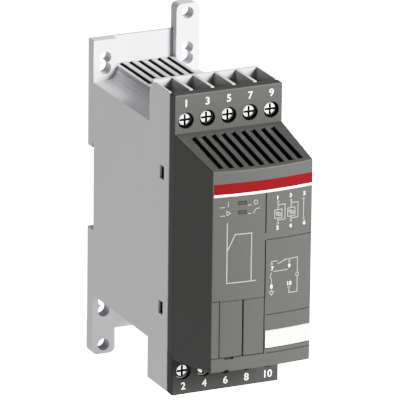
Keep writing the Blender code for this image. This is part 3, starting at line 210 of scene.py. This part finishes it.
# A switched phase's element, as points (x, z) whose x counts from the phase's line
ELEMENT_UPPER_Z = 0.0207
ELEMENT_LOWER_Z = 0.0172
ELEMENT_BOX = ((-0.0014, 0.0206), (0.0017, 0.0206), (0.0017, 0.0173), (-0.0014, 0.0173))
ELEMENT_DOWN = ((-0.0009, 0.0196), (0.0003, 0.0196), (-0.0003, 0.0184))
ELEMENT_UP = ((0.0002, 0.0182), (0.0013, 0.0182), (0.0008, 0.0194))
ELEMENT_BYPASS = ((0.0, 0.0225), (0.0030, 0.0225), (0.0030, 0.0165), (0.0, 0.0165))

# The phases' numbers: how far each stands from its phase's line, and how high where phases share it
FIRST_NUMBER_SHIFT = -0.0002
SECOND_NUMBER_SHIFT = -0.0001
SECOND_NUMBER_Z = 0.0134
PLAIN_PHASE_NUMBERS = ((5, 0.0003, 0.0253), (6, 0.0004, 0.0136))

# The control circuit: rings (x, z, radius), wires and arrow head by their points, and numbers (x, z)
CONTROL_RINGS = (
    (0.0033, -0.0008, 0.0004), (0.0109, -0.0007, 0.0004),
    (0.0109, -0.0111, 0.0004), (0.0144, -0.0064, 0.0007),
)
CONTROL_WIRES = (
    ((0.0033, -0.0003), (0.0033, 0.0003), (0.0056, 0.0002)),
    ((0.0059, -0.0009), (0.0094, 0.0002)),
    ((0.0109, -0.0002), (0.0109, 0.0003)),
    ((0.0086, 0.0003), (0.0145, 0.0004), (0.0145, -0.0057)),
    ((0.0145, -0.0072), (0.0145, -0.0134), (0.0109, -0.0132), (0.0109, -0.0116)),
    ((0.0041, -0.0038), (0.0101, -0.0038)),
    ((0.0034, -0.0043), (0.0027, -0.0056), (0.0034, -0.0070), (0.0034, -0.0087)),
    ((0.0034, -0.0107), (0.0034, -0.0117)),
)
CONTROL_ARROW = ((0.0025, -0.0117), (0.0044, -0.0117), (0.00345, -0.0132))
CONTROL_NUMBERS = ((7, 0.0036, -0.0027), (9, 0.0109, -0.0026), (8, 0.0034, -0.0098), (10, 0.0109, -0.0096))

# The rail latch's spring
SPRING_TURNS = 6
SPRING_FLAT_TURNS = 0.8
SPRING_END_CLIMB = 0.05
SPRING_STEPS = 24
SPRING_SIDES = 10
SPRING_RADIUS = 0.0014
SPRING_WIRE = 0.00022


def camera_axes():
    """Right, up and forward of the camera, from its yaw, pitch and roll."""
    cy, sy = math.cos(CAMERA_YAW), math.sin(CAMERA_YAW)
    cp, sp = math.cos(CAMERA_PITCH), math.sin(CAMERA_PITCH)
    cr, sr = math.cos(CAMERA_ROLL), math.sin(CAMERA_ROLL)
    forward = Vector((sy * cp, cy * cp, -sp))
    level = Vector((cy, -sy, 0.0))
    upright = level.cross(forward)
    return cr * level + sr * upright, cr * upright - sr * level, forward


def make_camera():
    """The camera at the photograph's viewing angle."""
    right, up, forward = camera_axes()
    ox, oy, oz = CAMERA_OFFSET
    place = -(right * ox + up * oy + forward * oz)
    place += Vector((0.0, -FRONT_SHIFT, -MID_HEIGHT))
    camera = bpy.data.objects.new("camera", bpy.data.cameras.new("camera"))
    camera.data.lens = CAMERA_LENS
    camera.data.sensor_width = CAMERA_SENSOR
    camera.data.clip_end = CAMERA_CLIP
    turn = Matrix((right, up, -forward)).transposed().to_4x4()
    camera.matrix_world = Matrix.Translation(place) @ turn
    bpy.context.scene.collection.objects.link(camera)
    bpy.context.scene.camera = camera


def make_floor_material():
    """A matt floor that glows, by one amount for the camera's own rays and by another for all others."""
    material = bpy.data.materials.new("floor")
    material.use_nodes = True
    tree = material.node_tree
    shader = tree.nodes["Principled BSDF"]
    shader.inputs["Base Color"].default_value = (FLOOR_TONE, FLOOR_TONE, FLOOR_TONE, 1)
    shader.inputs["Roughness"].default_value = FLOOR_ROUGHNESS
    shader.inputs["Emission Color"].default_value = (1, 1, 1, 1)
    seen = tree.nodes.new("ShaderNodeLightPath").outputs["Is Camera Ray"]
    glow = tree.nodes.new("ShaderNodeMapRange")
    glow.inputs["To Min"].default_value = FLOOR_GLOW
    glow.inputs["To Max"].default_value = FLOOR_GLOW_SEEN
    tree.links.new(seen, glow.inputs["Value"])
    tree.links.new(glow.outputs["Result"], shader.inputs["Emission Strength"])
    return material


def make_floor():
    """A pale floor well below the hanging device."""
    mesh = bpy.data.meshes.new("floor")
    corners = ((-1, -1), (1, -1), (1, 1), (-1, 1))
    mesh.from_pydata([(FLOOR_HALF * x, FLOOR_HALF * y, FLOOR_Z) for x, y in corners], [], [(0, 1, 2, 3)])
    mesh.materials.append(make_floor_material())
    floor = bpy.data.objects.new("floor", mesh)
    bpy.context.scene.collection.objects.link(floor)


def make_world():
    """A faint white world."""
    world = bpy.data.worlds.new("studio")
    world.use_nodes = True
    back = world.node_tree.nodes["Background"]
    back.inputs["Color"].default_value = (1, 1, 1, 1)
    back.inputs["Strength"].default_value = WORLD_GLOW
    bpy.context.scene.world = world


def make_light(name, place, size, power):
    """A square area light that looks at the device."""
    light = bpy.data.objects.new(name, bpy.data.lights.new(name, "AREA"))
    light.data.size = size
    light.data.energy = power
    light.location = place
    aim = Vector(LIGHT_TARGET) - Vector(place)
    light.rotation_euler = aim.to_track_quat("-Z", "Y").to_euler()
    bpy.context.scene.collection.objects.link(light)


def set_tones():
    """The picture's tone curve, the same for red, green and blue."""
    view = bpy.context.scene.view_settings
    view.view_transform = "Standard"
    view.look = "None"
    view.use_curve_mapping = True
    view.curve_mapping.white_level = (TONE_WHITE, TONE_WHITE, TONE_WHITE)
    curve = view.curve_mapping.curves[COMBINED_CURVE]
    for light, tone in TONE_CURVE:
        curve.points.new(light / TONE_WHITE, tone)
    for point in curve.points:
        point.handle_type = "AUTO_CLAMPED"
    view.curve_mapping.update()


def make_stage():
    """The floor, the world, two soft lights and the picture's tones."""
    make_floor()
    make_world()
    make_light("top_light", *TOP_LIGHT)
    make_light("front_light", *FRONT_LIGHT)
    set_tones()


def new_group(name, inputs, outputs):
    """An empty shader node group with named number inputs and outputs."""
    group = bpy.data.node_groups.new(name, "ShaderNodeTree")
    for label, value in inputs:
        socket = group.interface.new_socket(label, in_out="INPUT", socket_type="NodeSocketFloat")
        socket.default_value = value
    for label in outputs:
        group.interface.new_socket(label, in_out="OUTPUT", socket_type="NodeSocketFloat")
    return group, group.nodes.new("NodeGroupInput"), group.nodes.new("NodeGroupOutput")


def feed(group, socket, value):
    """Set a socket to a number, or link another socket to it."""
    if isinstance(value, (int, float)):
        socket.default_value = value
    else:
        group.links.new(value, socket)


def math_node(group, operation, first, second):
    """A math node whose inputs are sockets or numbers."""
    node = group.nodes.new("ShaderNodeMath")
    node.operation = operation
    feed(group, node.inputs[0], first)
    feed(group, node.inputs[1], second)
    return node.outputs[0]


def noise_node(group, coordinates, scale, detail):
    """A noise texture read at the given coordinates."""
    node = group.nodes.new("ShaderNodeTexNoise")
    group.links.new(coordinates, node.inputs["Vector"])
    feed(group, node.inputs["Scale"], scale)
    node.inputs["Detail"].default_value = detail
    return node.outputs["Fac"]


def absolute(group, value):
    """A value without its sign."""
    return math_node(group, "ABSOLUTE", value, 0.0)


def clamp(group, value):
    """A value held between zero and one."""
    return math_node(group, "MINIMUM", math_node(group, "MAXIMUM", value, 0.0), 1.0)


def fade(group, value, reach):
    """Zero where a value is zero or less, rising evenly to one where it comes to the reach."""
    return clamp(group, math_node(group, "MULTIPLY", value, 1 / reach))


def box_mask(group, axes, low, high, soft=SHADE_EDGE):
    """One inside a box and zero outside, with a soft edge: the least of the distances to its walls."""
    mask = None
    for axis, start, end in zip(axes, low, high):
        middle, half = (start + end) / 2, (end - start) / 2
        offset = math_node(group, "SUBTRACT", axis, middle)
        inside = math_node(group, "SUBTRACT", half, absolute(group, offset))
        share = math_node(group, "MULTIPLY", inside, 1 / soft)
        mask = share if mask is None else math_node(group, "MINIMUM", mask, share)
    return clamp(group, mask)


def distance_node(group, across, up):
    """The length of a flat offset: the root of the sum of its squares."""
    across_squared = math_node(group, "POWER", across, 2.0)
    up_squared = math_node(group, "POWER", up, 2.0)
    return math_node(group, "SQRT", math_node(group, "ADD", across_squared, up_squared), 0.0)


def object_coordinates(group):
    """The object's own coordinates."""
    return group.nodes.new("ShaderNodeTexCoord").outputs["Object"]


def object_axes(group):
    """X, Y and Z of the object's own coordinates."""
    split = group.nodes.new("ShaderNodeSeparateXYZ")
    group.links.new(object_coordinates(group), split.inputs[0])
    return split.outputs["X"], split.outputs["Y"], split.outputs["Z"]


def new_skin_group(name, scales, roughness, spread):
    """A group for a finish's skin: it puts out a height, a slow drift of tone and a roughness."""
    inputs = (*scales, ("Roughness", roughness), ("Roughness Spread", spread))
    return new_group(name, inputs, ("Height", "Drift", "Roughness"))


def finish_skin_group(group, entry, leave, height, drift, wave):
    """Put out the height, the drift and a roughness: its middle plus its spread times the centred wave."""
    centred = math_node(group, "SUBTRACT", wave, NOISE_MIDDLE)
    spread = math_node(group, "MULTIPLY", centred, entry.outputs["Roughness Spread"])
    rough = math_node(group, "ADD", spread, entry.outputs["Roughness"])
    group.links.new(height, leave.inputs["Height"])
    group.links.new(drift, leave.inputs["Drift"])
    group.links.new(rough, leave.inputs["Roughness"])
    return group


def make_grain_group():
    """Moulded skin: fine grain as height, slow tone drift as a mask, and roughness that follows both."""
    scales = (("Grain Scale", 3500.0), ("Drift Scale", 25.0))
    group, entry, leave = new_skin_group("moulded_grain", scales, 0.5, 0.08)
    coordinates = object_coordinates(group)
    grain = noise_node(group, coordinates, entry.outputs["Grain Scale"], 2.0)
    drift = noise_node(group, coordinates, entry.outputs["Drift Scale"], 3.0)
    fine = math_node(group, "MULTIPLY", grain, GRAIN_SHARE)
    mixed = math_node(group, "ADD", fine, math_node(group, "MULTIPLY", drift, DRIFT_SHARE))
    return finish_skin_group(group, entry, leave, grain, drift, mixed)


def make_brushed_group():
    """Drawn or turned metal: noise stretched along one axis gives streaks in height and roughness."""
    group, entry, leave = new_skin_group("brushed_metal", (("Streak Scale", 900.0),), 0.3, 0.2)
    coordinates = object_coordinates(group)
    mapping = group.nodes.new("ShaderNodeMapping")
    mapping.inputs["Scale"].default_value = STREAK_STRETCH
    group.links.new(coordinates, mapping.inputs["Vector"])
    streak = noise_node(group, mapping.outputs["Vector"], entry.outputs["Streak Scale"], 3.0)
    drift = noise_node(group, coordinates, METAL_DRIFT_SCALE, 2.0)
    return finish_skin_group(group, entry, leave, streak, drift, streak)


def darken(group, shade, more, share=1.0):
    """The greater of two shades, the second of them first weakened to a share of itself."""
    if share != 1.0:
        more = math_node(group, "MULTIPLY", more, share)
    return math_node(group, "MAXIMUM", shade, more)


def make_housing_shade_group():
    """Where the housing lies in shade: its vents and hollow, deep in its chambers, and a little its panel."""
    group, _, leave = new_group("housing_shade", (), ("Shade",))
    axes = object_axes(group)
    height = absolute(group, axes[2])
    low = (-VENT_HALF_WIDTH + 2 * SHADE_SKIN, BLOCK_REAR_Y + SHADE_SKIN, VENT_BOTTOM_Z + SHADE_SKIN)
    high = (VENT_HALF_WIDTH - 2 * SHADE_SKIN, VENT_REAR_Y, VENT_TOP_Z - SHADE_SKIN)
    past_rail = fade(group, math_node(group, "SUBTRACT", height, RAIL_REACH), RAIL_FADE)
    vents = math_node(group, "MINIMUM", box_mask(group, axes, low, high), past_rail)
    low = (-CHAMBER_HALF_WIDTH, FRONT_Y, BLOCK_BOTTOM_Z - SHADE_SKIN)
    high = (CHAMBER_HALF_WIDTH, BLOCK_REAR_Y - CHAMBER_REAR_WALL, BLOCK_TOP_Z + SHADE_SKIN)
    deep = fade(group, math_node(group, "SUBTRACT", BLOCK_TOP_Z, height), CHAMBER_FADE)
    chambers = math_node(group, "MULTIPLY", box_mask(group, axes, low, high), deep)
    low = (-HOLLOW_HALF_WIDTH, FRONT_Y, HOLLOW_BOTTOM_Z)
    high = (HOLLOW_HALF_WIDTH, HOLLOW_REAR_Y, HOLLOW_TOP_Z)
    hollow = box_mask(group, axes, low, high)
    low = (-PANEL_HALF_WIDTH, BLOCK_REAR_Y, VENT_TOP_Z - PANEL_DROP)
    high = (PANEL_HALF_WIDTH, PANEL_REAR_Y, VENT_TOP_Z + PANEL_RISE)
    panel = box_mask(group, axes, low, high, SHADE_SKIN)
    shade = darken(group, chambers, panel, PANEL_SHADE)
    shade = darken(group, shade, vents)
    shade = darken(group, shade, hollow)
    group.links.new(shade, leave.inputs["Shade"])
    return group


def screw_offsets(group, x, z):
    """How far a point lies right of and above the nearest screw: x's remainder over the pitch, z by row."""
    half_pitch = TERMINAL_PITCH / 2
    shifted = math_node(group, "ADD", x, PITCHES_TO_ZERO * TERMINAL_PITCH + half_pitch)
    along = math_node(group, "SUBTRACT", math_node(group, "MODULO", shifted, TERMINAL_PITCH), half_pitch)
    upper = math_node(group, "GREATER_THAN", z, 0.0)
    row = math_node(group, "MULTIPLY", upper, UPPER_SCREW_Z - LOWER_SCREW_Z)
    up = math_node(group, "SUBTRACT", z, math_node(group, "ADD", row, LOWER_SCREW_Z))
    return along, up


def make_cover_shade_group():
    """Where the cover lies in shade: the walls of its screw holes and louvres, and in part its underside."""
    group, _, leave = new_group("cover_shade", (), ("Shade",))
    x, y, z = object_axes(group)
    radius = distance_node(group, *screw_offsets(group, x, z))
    near = math_node(group, "LESS_THAN", radius, HOLE_RADIUS + HOLE_MARGIN)
    behind = math_node(group, "SUBTRACT", y, TERMINAL_FACE_Y + HOLE_MARGIN)
    holes = math_node(group, "MULTIPLY", near, fade(group, behind, HOLE_FADE))
    rise = math_node(group, "MULTIPLY", math_node(group, "SUBTRACT", y, FRONT_Y), NOSE_TOP_SLOPE)
    skin = math_node(group, "SUBTRACT", math_node(group, "ADD", rise, NOSE_TOP_Z - LOUVRE_SKIN), z)
    low = (-LOUVRE_HALF_WIDTH, FRONT_Y + LOUVRE_FRONT_WALL, LOUVRE_BOTTOM_Z)
    high = (LOUVRE_HALF_WIDTH, TERMINAL_FACE_Y - LOUVRE_REAR_WALL, LOUVRE_TOP_Z)
    nose = box_mask(group, (x, y, z), low, high)
    louvres = math_node(group, "MULTIPLY", nose, fade(group, skin, LOUVRE_SKIN))
    low = (-UNDERSIDE_HALF_WIDTH, TERMINAL_FACE_Y - UNDERSIDE_FRONT, BLOCK_BOTTOM_Z - UNDERSIDE_DROP)
    high = (UNDERSIDE_HALF_WIDTH, TERMINAL_FACE_Y + UNDERSIDE_DEPTH, UNDERSIDE_TOP_Z)
    underside = box_mask(group, (x, y, z), low, high)
    shade = darken(group, holes, louvres)
    shade = darken(group, shade, underside, UNDERSIDE_SHADE)
    group.links.new(shade, leave.inputs["Shade"])
    return group


def make_screw_shade_group():
    """Where a screw lies in shade: its cross, its edge and shank, and the side under the hole's wall."""
    group, _, leave = new_group("screw_shade", (), ("Shade",))
    x, y, z = object_axes(group)
    deep = fade(group, math_node(group, "SUBTRACT", y, HEAD_FRONT_Y + HEAD_SKIN), HEAD_FADE)
    along, up = screw_offsets(group, x, z)
    aside = math_node(group, "ADD", along, SHADOW_SHIFT)
    below = math_node(group, "SUBTRACT", up, SHADOW_SHIFT)
    beyond = math_node(group, "SUBTRACT", distance_node(group, aside, below), SHADOW_RADIUS)
    shade = darken(group, deep, fade(group, beyond, SHADOW_FADE), SHADOW_SHADE)
    for wide, tall in ((CROSS_REACH, CROSS_HALF), (CROSS_HALF, CROSS_REACH)):
        arm = box_mask(group, (along, up), (-wide, -tall), (wide, tall), CROSS_EDGE)
        shade = darken(group, shade, arm, CROSS_SHADE)
    group.links.new(shade, leave.inputs["Shade"])
    return group


def mix_tones(tree, factor, first, second):
    """A colour mix by a factor socket, from a colour or socket to a plain colour."""
    mix = tree.nodes.new("ShaderNodeMix")
    mix.data_type = "RGBA"
    tree.links.new(factor, mix.inputs["Factor"])
    if isinstance(first, tuple):
        mix.inputs["A"].default_value = (*first, 1.0)
    else:
        tree.links.new(first, mix.inputs["A"])
    mix.inputs["B"].default_value = (*second, 1.0)
    return mix.outputs["Result"]


def make_finish(name, skin, dark, light, settings, shade=None, bump=0.1, bump_distance=0.00003, **sockets):
    """A Principled material: a skin group's drift mixes two tones, and its height and roughness shape it."""
    material = bpy.data.materials.new(name)
    material.use_nodes = True
    tree = material.node_tree
    shader = tree.nodes["Principled BSDF"]
    placed = tree.nodes.new("ShaderNodeGroup")
    placed.node_tree = skin
    for label, value in settings.items():
        placed.inputs[label].default_value = value
    colour = mix_tones(tree, placed.outputs["Drift"], dark, light)
    # Painted shade: where the shade group's mask is up, the base colour is darkened towards the shade tone
    if shade:
        where = tree.nodes.new("ShaderNodeGroup")
        where.node_tree = shade
        colour = mix_tones(tree, where.outputs["Shade"], colour, SHADE_COLOUR)
    tree.links.new(colour, shader.inputs["Base Color"])
    tree.links.new(placed.outputs["Roughness"], shader.inputs["Roughness"])
    relief = tree.nodes.new("ShaderNodeBump")
    relief.inputs["Strength"].default_value = bump
    relief.inputs["Distance"].default_value = bump_distance
    tree.links.new(placed.outputs["Height"], relief.inputs["Height"])
    tree.links.new(relief.outputs["Normal"], shader.inputs["Normal"])
    for label, value in sockets.items():
        shader.inputs[label.replace("_", " ")].default_value = value
    return material


def make_materials():
    """Every finish on the device, by its name: a darker and a lighter tone, and how rough it is."""
    grain, brushed = make_grain_group(), make_brushed_group()
    finishes = {}

    def plastic(name, dark, light, rough, **more):
        settings = {"Roughness": rough, "Roughness Spread": 0.08}
        finishes[name] = make_finish(name, grain, dark, light, settings, **more)

    def metal(name, dark, light, rough, spread, **more):
        settings = {"Roughness": rough, "Roughness Spread": spread}
        finishes[name] = make_finish(name, brushed, dark, light, settings, Metallic=1.0, **more)

    plastic("light_grey_plastic", (0.576, 0.574, 0.590), (0.626, 0.624, 0.640), 0.5,
            shade=make_housing_shade_group())
    plastic("dark_grey_plastic", (0.077, 0.077, 0.074), (0.087, 0.087, 0.084), 0.5,
            shade=make_cover_shade_group(), Specular_IOR_Level=0.12)
    plastic("blank_plastic", (0.076, 0.076, 0.073), (0.086, 0.086, 0.083), 0.45, Specular_IOR_Level=0.12)
    plastic("white_plastic", (0.74, 0.74, 0.73), (0.80, 0.80, 0.79), 0.5)
    plastic("light_pipe", (0.030, 0.036, 0.034), (0.040, 0.046, 0.043), 0.22)
    plastic("led_body", (0.55, 0.62, 0.50), (0.65, 0.72, 0.60), 0.2)
    plastic("board_green", (0.02, 0.09, 0.045), (0.03, 0.12, 0.06), 0.4)
    plastic("relay_black", (0.012, 0.012, 0.013), (0.02, 0.02, 0.021), 0.4)
    plastic("module_grey", (0.035, 0.035, 0.038), (0.05, 0.05, 0.053), 0.5)
    plastic("transformer_blue", (0.02, 0.05, 0.16), (0.03, 0.07, 0.2), 0.35)
    plastic("capacitor_sleeve", (0.015, 0.015, 0.03), (0.025, 0.025, 0.045), 0.3)
    plastic("latch_black", (0.018, 0.018, 0.018), (0.028, 0.028, 0.028), 0.45)
    metal("aluminium", (0.62, 0.63, 0.65), (0.74, 0.75, 0.77), 0.42, 0.2)
    metal("zinc_steel", (0.66, 0.67, 0.69), (0.82, 0.83, 0.84), 0.34, 0.2)
    metal("screw_steel", (0.80, 0.81, 0.83), (0.94, 0.95, 0.96), 0.42, 0.2,
          shade=make_screw_shade_group())
    metal("spring_steel", (0.38, 0.39, 0.41), (0.52, 0.53, 0.55), 0.3, 0.14)
    metal("tinned_copper", (0.60, 0.50, 0.38), (0.72, 0.60, 0.46), 0.32, 0.14)
    plastic("stripe_red", (0.138, 0.0035, 0.0048), (0.154, 0.005, 0.0068), 0.45, Specular_IOR_Level=0.1)
    plastic("print_white", (0.78, 0.78, 0.77), (0.86, 0.86, 0.85), 0.5)
    plastic("print_grey", (0.26, 0.26, 0.255), (0.30, 0.30, 0.295), 0.5)
    return finishes


FINISHES = make_materials()


def dress_cad_nodes():
    """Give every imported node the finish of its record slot, and the terminal screws one of their own."""
    for entry in frame["record"]["subparts"]:
        node = frame["nodes"][entry["node"]]
        finish = "screw_steel" if entry["node"].startswith(TERMINAL_SCREWS) else entry["material_slot"]
        node.data.materials.clear()
        node.data.materials.append(FINISHES[finish])


def link_mesh(name, mesh, finish):
    """Put a mesh in the scene with a finish, and ride it on the fixed body."""
    mesh.materials.clear()
    mesh.materials.append(FINISHES[finish])
    made = bpy.data.objects.new(name, mesh)
    bpy.context.scene.collection.objects.link(made)
    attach(made, "base")
    return made


def link_piece(name, vertices, faces, finish):
    """Make a piece from an array of points and a list of faces."""
    mesh = bpy.data.meshes.new(name)
    mesh.from_pydata(vertices.tolist(), [], [tuple(face) for face in faces])
    mesh.update()
    return link_mesh(name, mesh, finish)


def front_y(x):
    """Y of the bowed front at x: front plus bow radius, less the root of radius squared less x squared."""
    return FRONT_Y + BOW_RADIUS - np.sqrt(BOW_RADIUS ** 2 - np.asarray(x, float) ** 2)


def ribbon(corners):
    """A thin printed patch over a quad (x, z), cut into even steps along its first side.

    Each step has four points, two at the quad's lower edge and two at its upper one. Their y is the bowed
    front's at their x, less the print's lift, and the print's thickness to the front or to the rear."""
    a, b, c, d = (np.asarray(corner, float) for corner in corners)
    steps = max(1, int(np.ceil(abs(b[0] - a[0]) / BOW_STEP)))
    share = np.linspace(0, 1, steps + 1)[:, None]
    lower, upper = a + (b - a) * share, d + (c - d) * share
    rows = []
    for edge, side in ((lower, -1), (upper, -1), (upper, 1), (lower, 1)):
        y = front_y(edge[:, 0]) - PRINT_LIFT + side * PRINT_THICKNESS
        rows.append(np.column_stack((edge[:, 0], y, edge[:, 1])))
    vertices = np.stack(rows, axis=1).reshape(-1, 3)
    near = 4 * np.arange(steps)[:, None]
    here, following = np.arange(4), (np.arange(4) + 1) % 4
    walls = np.stack((near + here, near + following, near + 4 + following, near + 4 + here), axis=-1)
    ends = np.array([(0, 3, 2, 1), 4 * steps + here])
    return vertices, np.vstack((ends, walls.reshape(-1, 4)))


def stroke(start, end, width):
    """The four corners of a straight line of a given width, with square ends half a width past its points."""
    a, b = np.asarray(start, float), np.asarray(end, float)
    along = (b - a) / np.linalg.norm(b - a)
    across = np.array([-along[1], along[0]]) * width / 2
    a, b = a - along * width / 2, b + along * width / 2
    return [a - across, b - across, b + across, a + across]


def draw_lines(name, lines, width):
    """Printed straight lines as one piece, each line given by its two ends (x, z)."""
    vertices, faces, count = [], [], 0
    for start, end in lines:
        points, quads = ribbon(stroke(start, end, width))
        vertices.append(points)
        faces.append(quads + count)
        count += len(points)
    link_piece(name, np.vstack(vertices), np.vstack(faces), "print_grey")


def draw_band(name, bottom, top, finish):
    """A printed band across the front, between two heights."""
    corners = ((PRINT_LEFT, bottom), (PRINT_RIGHT, bottom), (PRINT_RIGHT, top), (PRINT_LEFT, top))
    vertices, faces = ribbon(corners)
    link_piece(name, vertices, faces, finish)


def chain(points, closed=False):
    """Pairs of neighbouring points."""
    pairs = list(zip(points[:-1], points[1:]))
    return pairs + [(points[-1], points[0])] if closed else pairs


def moved(points, x=0.0, z=0.0):
    """Points (x, z) carried across and up."""
    return [(x + across, z + up) for across, up in points]


def ring_lines(x, z, radius, count=8):
    """A small circle as straight lines, between points at even angles round its middle."""
    angles = np.linspace(0, 2 * math.pi, count, endpoint=False)
    points = [(x + radius * math.cos(a), z + radius * math.sin(a)) for a in angles]
    return chain(points, closed=True)


def draw_number(name, number, x, z, plane_y, size):
    """A plain number, from the built-in font, laid on a plane that faces the front."""
    curve = bpy.data.curves.new(name, "FONT")
    curve.body = str(number)
    curve.size = size
    curve.align_x = "CENTER"
    curve.align_y = "CENTER"
    curve.extrude = PRINT_THICKNESS
    curve.offset = NUMBER_WEIGHT
    lettering = bpy.data.objects.new(name + "_curve", curve)
    bpy.context.scene.collection.objects.link(lettering)
    bpy.context.view_layer.update()
    graph = bpy.context.evaluated_depsgraph_get()
    mesh = bpy.data.meshes.new_from_object(lettering.evaluated_get(graph))
    bpy.data.objects.remove(lettering, do_unlink=True)
    upright = Matrix.Rotation(math.pi / 2, 4, "X")
    mesh.transform(Matrix.Translation((x, plane_y - PRINT_LIFT, z)) @ upright)
    link_mesh(name, mesh, "print_white")


def draw_small_number(kind, number, x, z):
    """A small plain number on the bowed front, at the depth of the bow where it stands."""
    draw_number(kind + str(number), number, x, z, float(front_y(x)), SMALL_NUMBER_SIZE)


def make_stripe():
    """The red stripe across the front and the white line below it."""
    draw_band("red_stripe", STRIPE_BOTTOM, STRIPE_TOP, "stripe_red")
    draw_band("white_line", LINE_BOTTOM, STRIPE_BOTTOM, "print_white")


def make_numbers():
    """Plain numbers over the upper screws and under the lower ones, odd above and even below."""
    for index in range(TERMINALS):
        for deck, z, first in (("upper", UPPER_NUMBER_Z, 1), ("lower", LOWER_NUMBER_Z, 2)):
            low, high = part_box(deck + "_screw_" + str(index + 1))
            name = deck + "_number_" + str(index + 1)
            draw_number(name, first + 2 * index, (low[0] + high[0]) / 2, z, TERMINAL_FACE_Y, NUMBER_SIZE)


def make_ramp_graph():
    """A plain graph of a rising and falling ramp on two axes."""
    draw_lines("ramp_graph", chain(RAMP_AXES) + chain(RAMP_COURSE), LINE_WIDTH)


def make_indicator_marks():
    """Short lead lines and plain marks beside the two indicators."""
    lines = [moved(lead, z=z) for z in (UPPER_MARK_Z, LOWER_MARK_Z) for lead in MARK_LEADS]
    lines += chain(moved(MARK_STROKE, z=UPPER_MARK_Z))
    lines += ring_lines(MARK_RING_X, UPPER_MARK_Z, MARK_RING_RADIUS)
    lines += chain(moved(MARK_TRIANGLE, z=LOWER_MARK_Z), closed=True)
    lines += chain(moved(MARK_STEP, z=LOWER_MARK_Z))
    draw_lines("indicator_marks", lines, THIN_LINE)


def switched_phase_lines(x, top, low):
    """One switched phase: its end rings, its line, and its element with the bypass beside it."""
    lines = ring_lines(x, top, RING_RADIUS) + ring_lines(x, low, RING_RADIUS)
    lines += [((x, top - RING_GAP), (x, ELEMENT_UPPER_Z)), ((x, ELEMENT_LOWER_Z), (x, low + RING_GAP))]
    for outline in (ELEMENT_BOX, ELEMENT_DOWN, ELEMENT_UP):
        lines += chain(moved(outline, x), closed=True)
    return lines + chain(moved(ELEMENT_BYPASS, x))


def make_phase_diagram():
    """Three phases in a row: two with a switching element and its bypass, one plain, with numbered ends."""
    lines = []
    for number, x, top, low, number_z in SWITCHED_PHASES:
        lines += switched_phase_lines(x, top, low)
        draw_small_number("phase_number_", number, x + FIRST_NUMBER_SHIFT, number_z)
        draw_small_number("phase_number_", number + 1, x + SECOND_NUMBER_SHIFT, SECOND_NUMBER_Z)
    for z in PLAIN_PHASE_RINGS:
        lines += ring_lines(PLAIN_PHASE_X, z, RING_RADIUS)
    lines += [tuple((PLAIN_PHASE_X, z) for z in PLAIN_PHASE_LINE)]
    draw_lines("phase_diagram", lines, THIN_LINE)
    for number, shift, z in PLAIN_PHASE_NUMBERS:
        draw_small_number("phase_number_", number, PLAIN_PHASE_X + shift, z)


def make_control_diagram():
    """The control circuit: two contacts, a supply and an output, with numbered ends."""
    lines = []
    for ring in CONTROL_RINGS:
        lines += ring_lines(*ring)
    for wire in CONTROL_WIRES:
        lines += chain(wire)
    lines += chain(CONTROL_ARROW, closed=True)
    draw_lines("control_diagram", lines, THIN_LINE)
    for number, x, z in CONTROL_NUMBERS:
        draw_small_number("control_number_", number, x, z)


def make_latch_spring():
    """The latch's spring: a ring of wire points carried up a helix, whose end turns lie almost flat.

    The helix's middle is the outward direction at each turn's angle times the spring's radius, raised by the
    climb. A ring point adds the wire's radius times its cosine outwards and its sine upwards."""
    low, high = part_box("latch_spring")
    axis_y = (low[1] + high[1]) / 2
    turn = np.linspace(0, SPRING_TURNS, SPRING_TURNS * SPRING_STEPS + 1)
    climb_turns = (0, SPRING_FLAT_TURNS, SPRING_TURNS - SPRING_FLAT_TURNS, SPRING_TURNS)
    climb = np.interp(turn, climb_turns, (0, SPRING_END_CLIMB, 1 - SPRING_END_CLIMB, 1))
    rise = low[2] + SPRING_WIRE + (high[2] - low[2] - 2 * SPRING_WIRE) * climb
    level = np.zeros(len(turn))
    outward = np.column_stack((np.cos(2 * np.pi * turn), np.sin(2 * np.pi * turn), level))
    centre = outward * SPRING_RADIUS + np.column_stack((level, level + axis_y, rise))
    around = np.linspace(0, 2 * np.pi, SPRING_SIDES, endpoint=False)
    up = np.array((0.0, 0.0, 1.0))
    section = np.cos(around)[None, :, None] * outward[:, None, :] + np.sin(around)[None, :, None] * up
    vertices = (centre[:, None, :] + SPRING_WIRE * section).reshape(-1, 3)
    row = np.arange(len(turn) - 1)[:, None] * SPRING_SIDES
    side = np.arange(SPRING_SIDES)
    following = (side + 1) % SPRING_SIDES
    ahead = row + SPRING_SIDES
    walls = np.stack((row + side, ahead + side, ahead + following, row + following), axis=-1)
    last = (len(turn) - 1) * SPRING_SIDES
    faces = walls.reshape(-1, 4).tolist() + [tuple(side), tuple(last + side[::-1])]
    made = link_piece("coil_spring", vertices, faces, "spring_steel")
    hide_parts("latch_spring")
    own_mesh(made)


make_camera()
make_stage()
dress_cad_nodes()
make_latch_spring()
make_stripe()
make_numbers()
make_ramp_graph()
make_indicator_marks()
make_phase_diagram()
make_control_diagram()
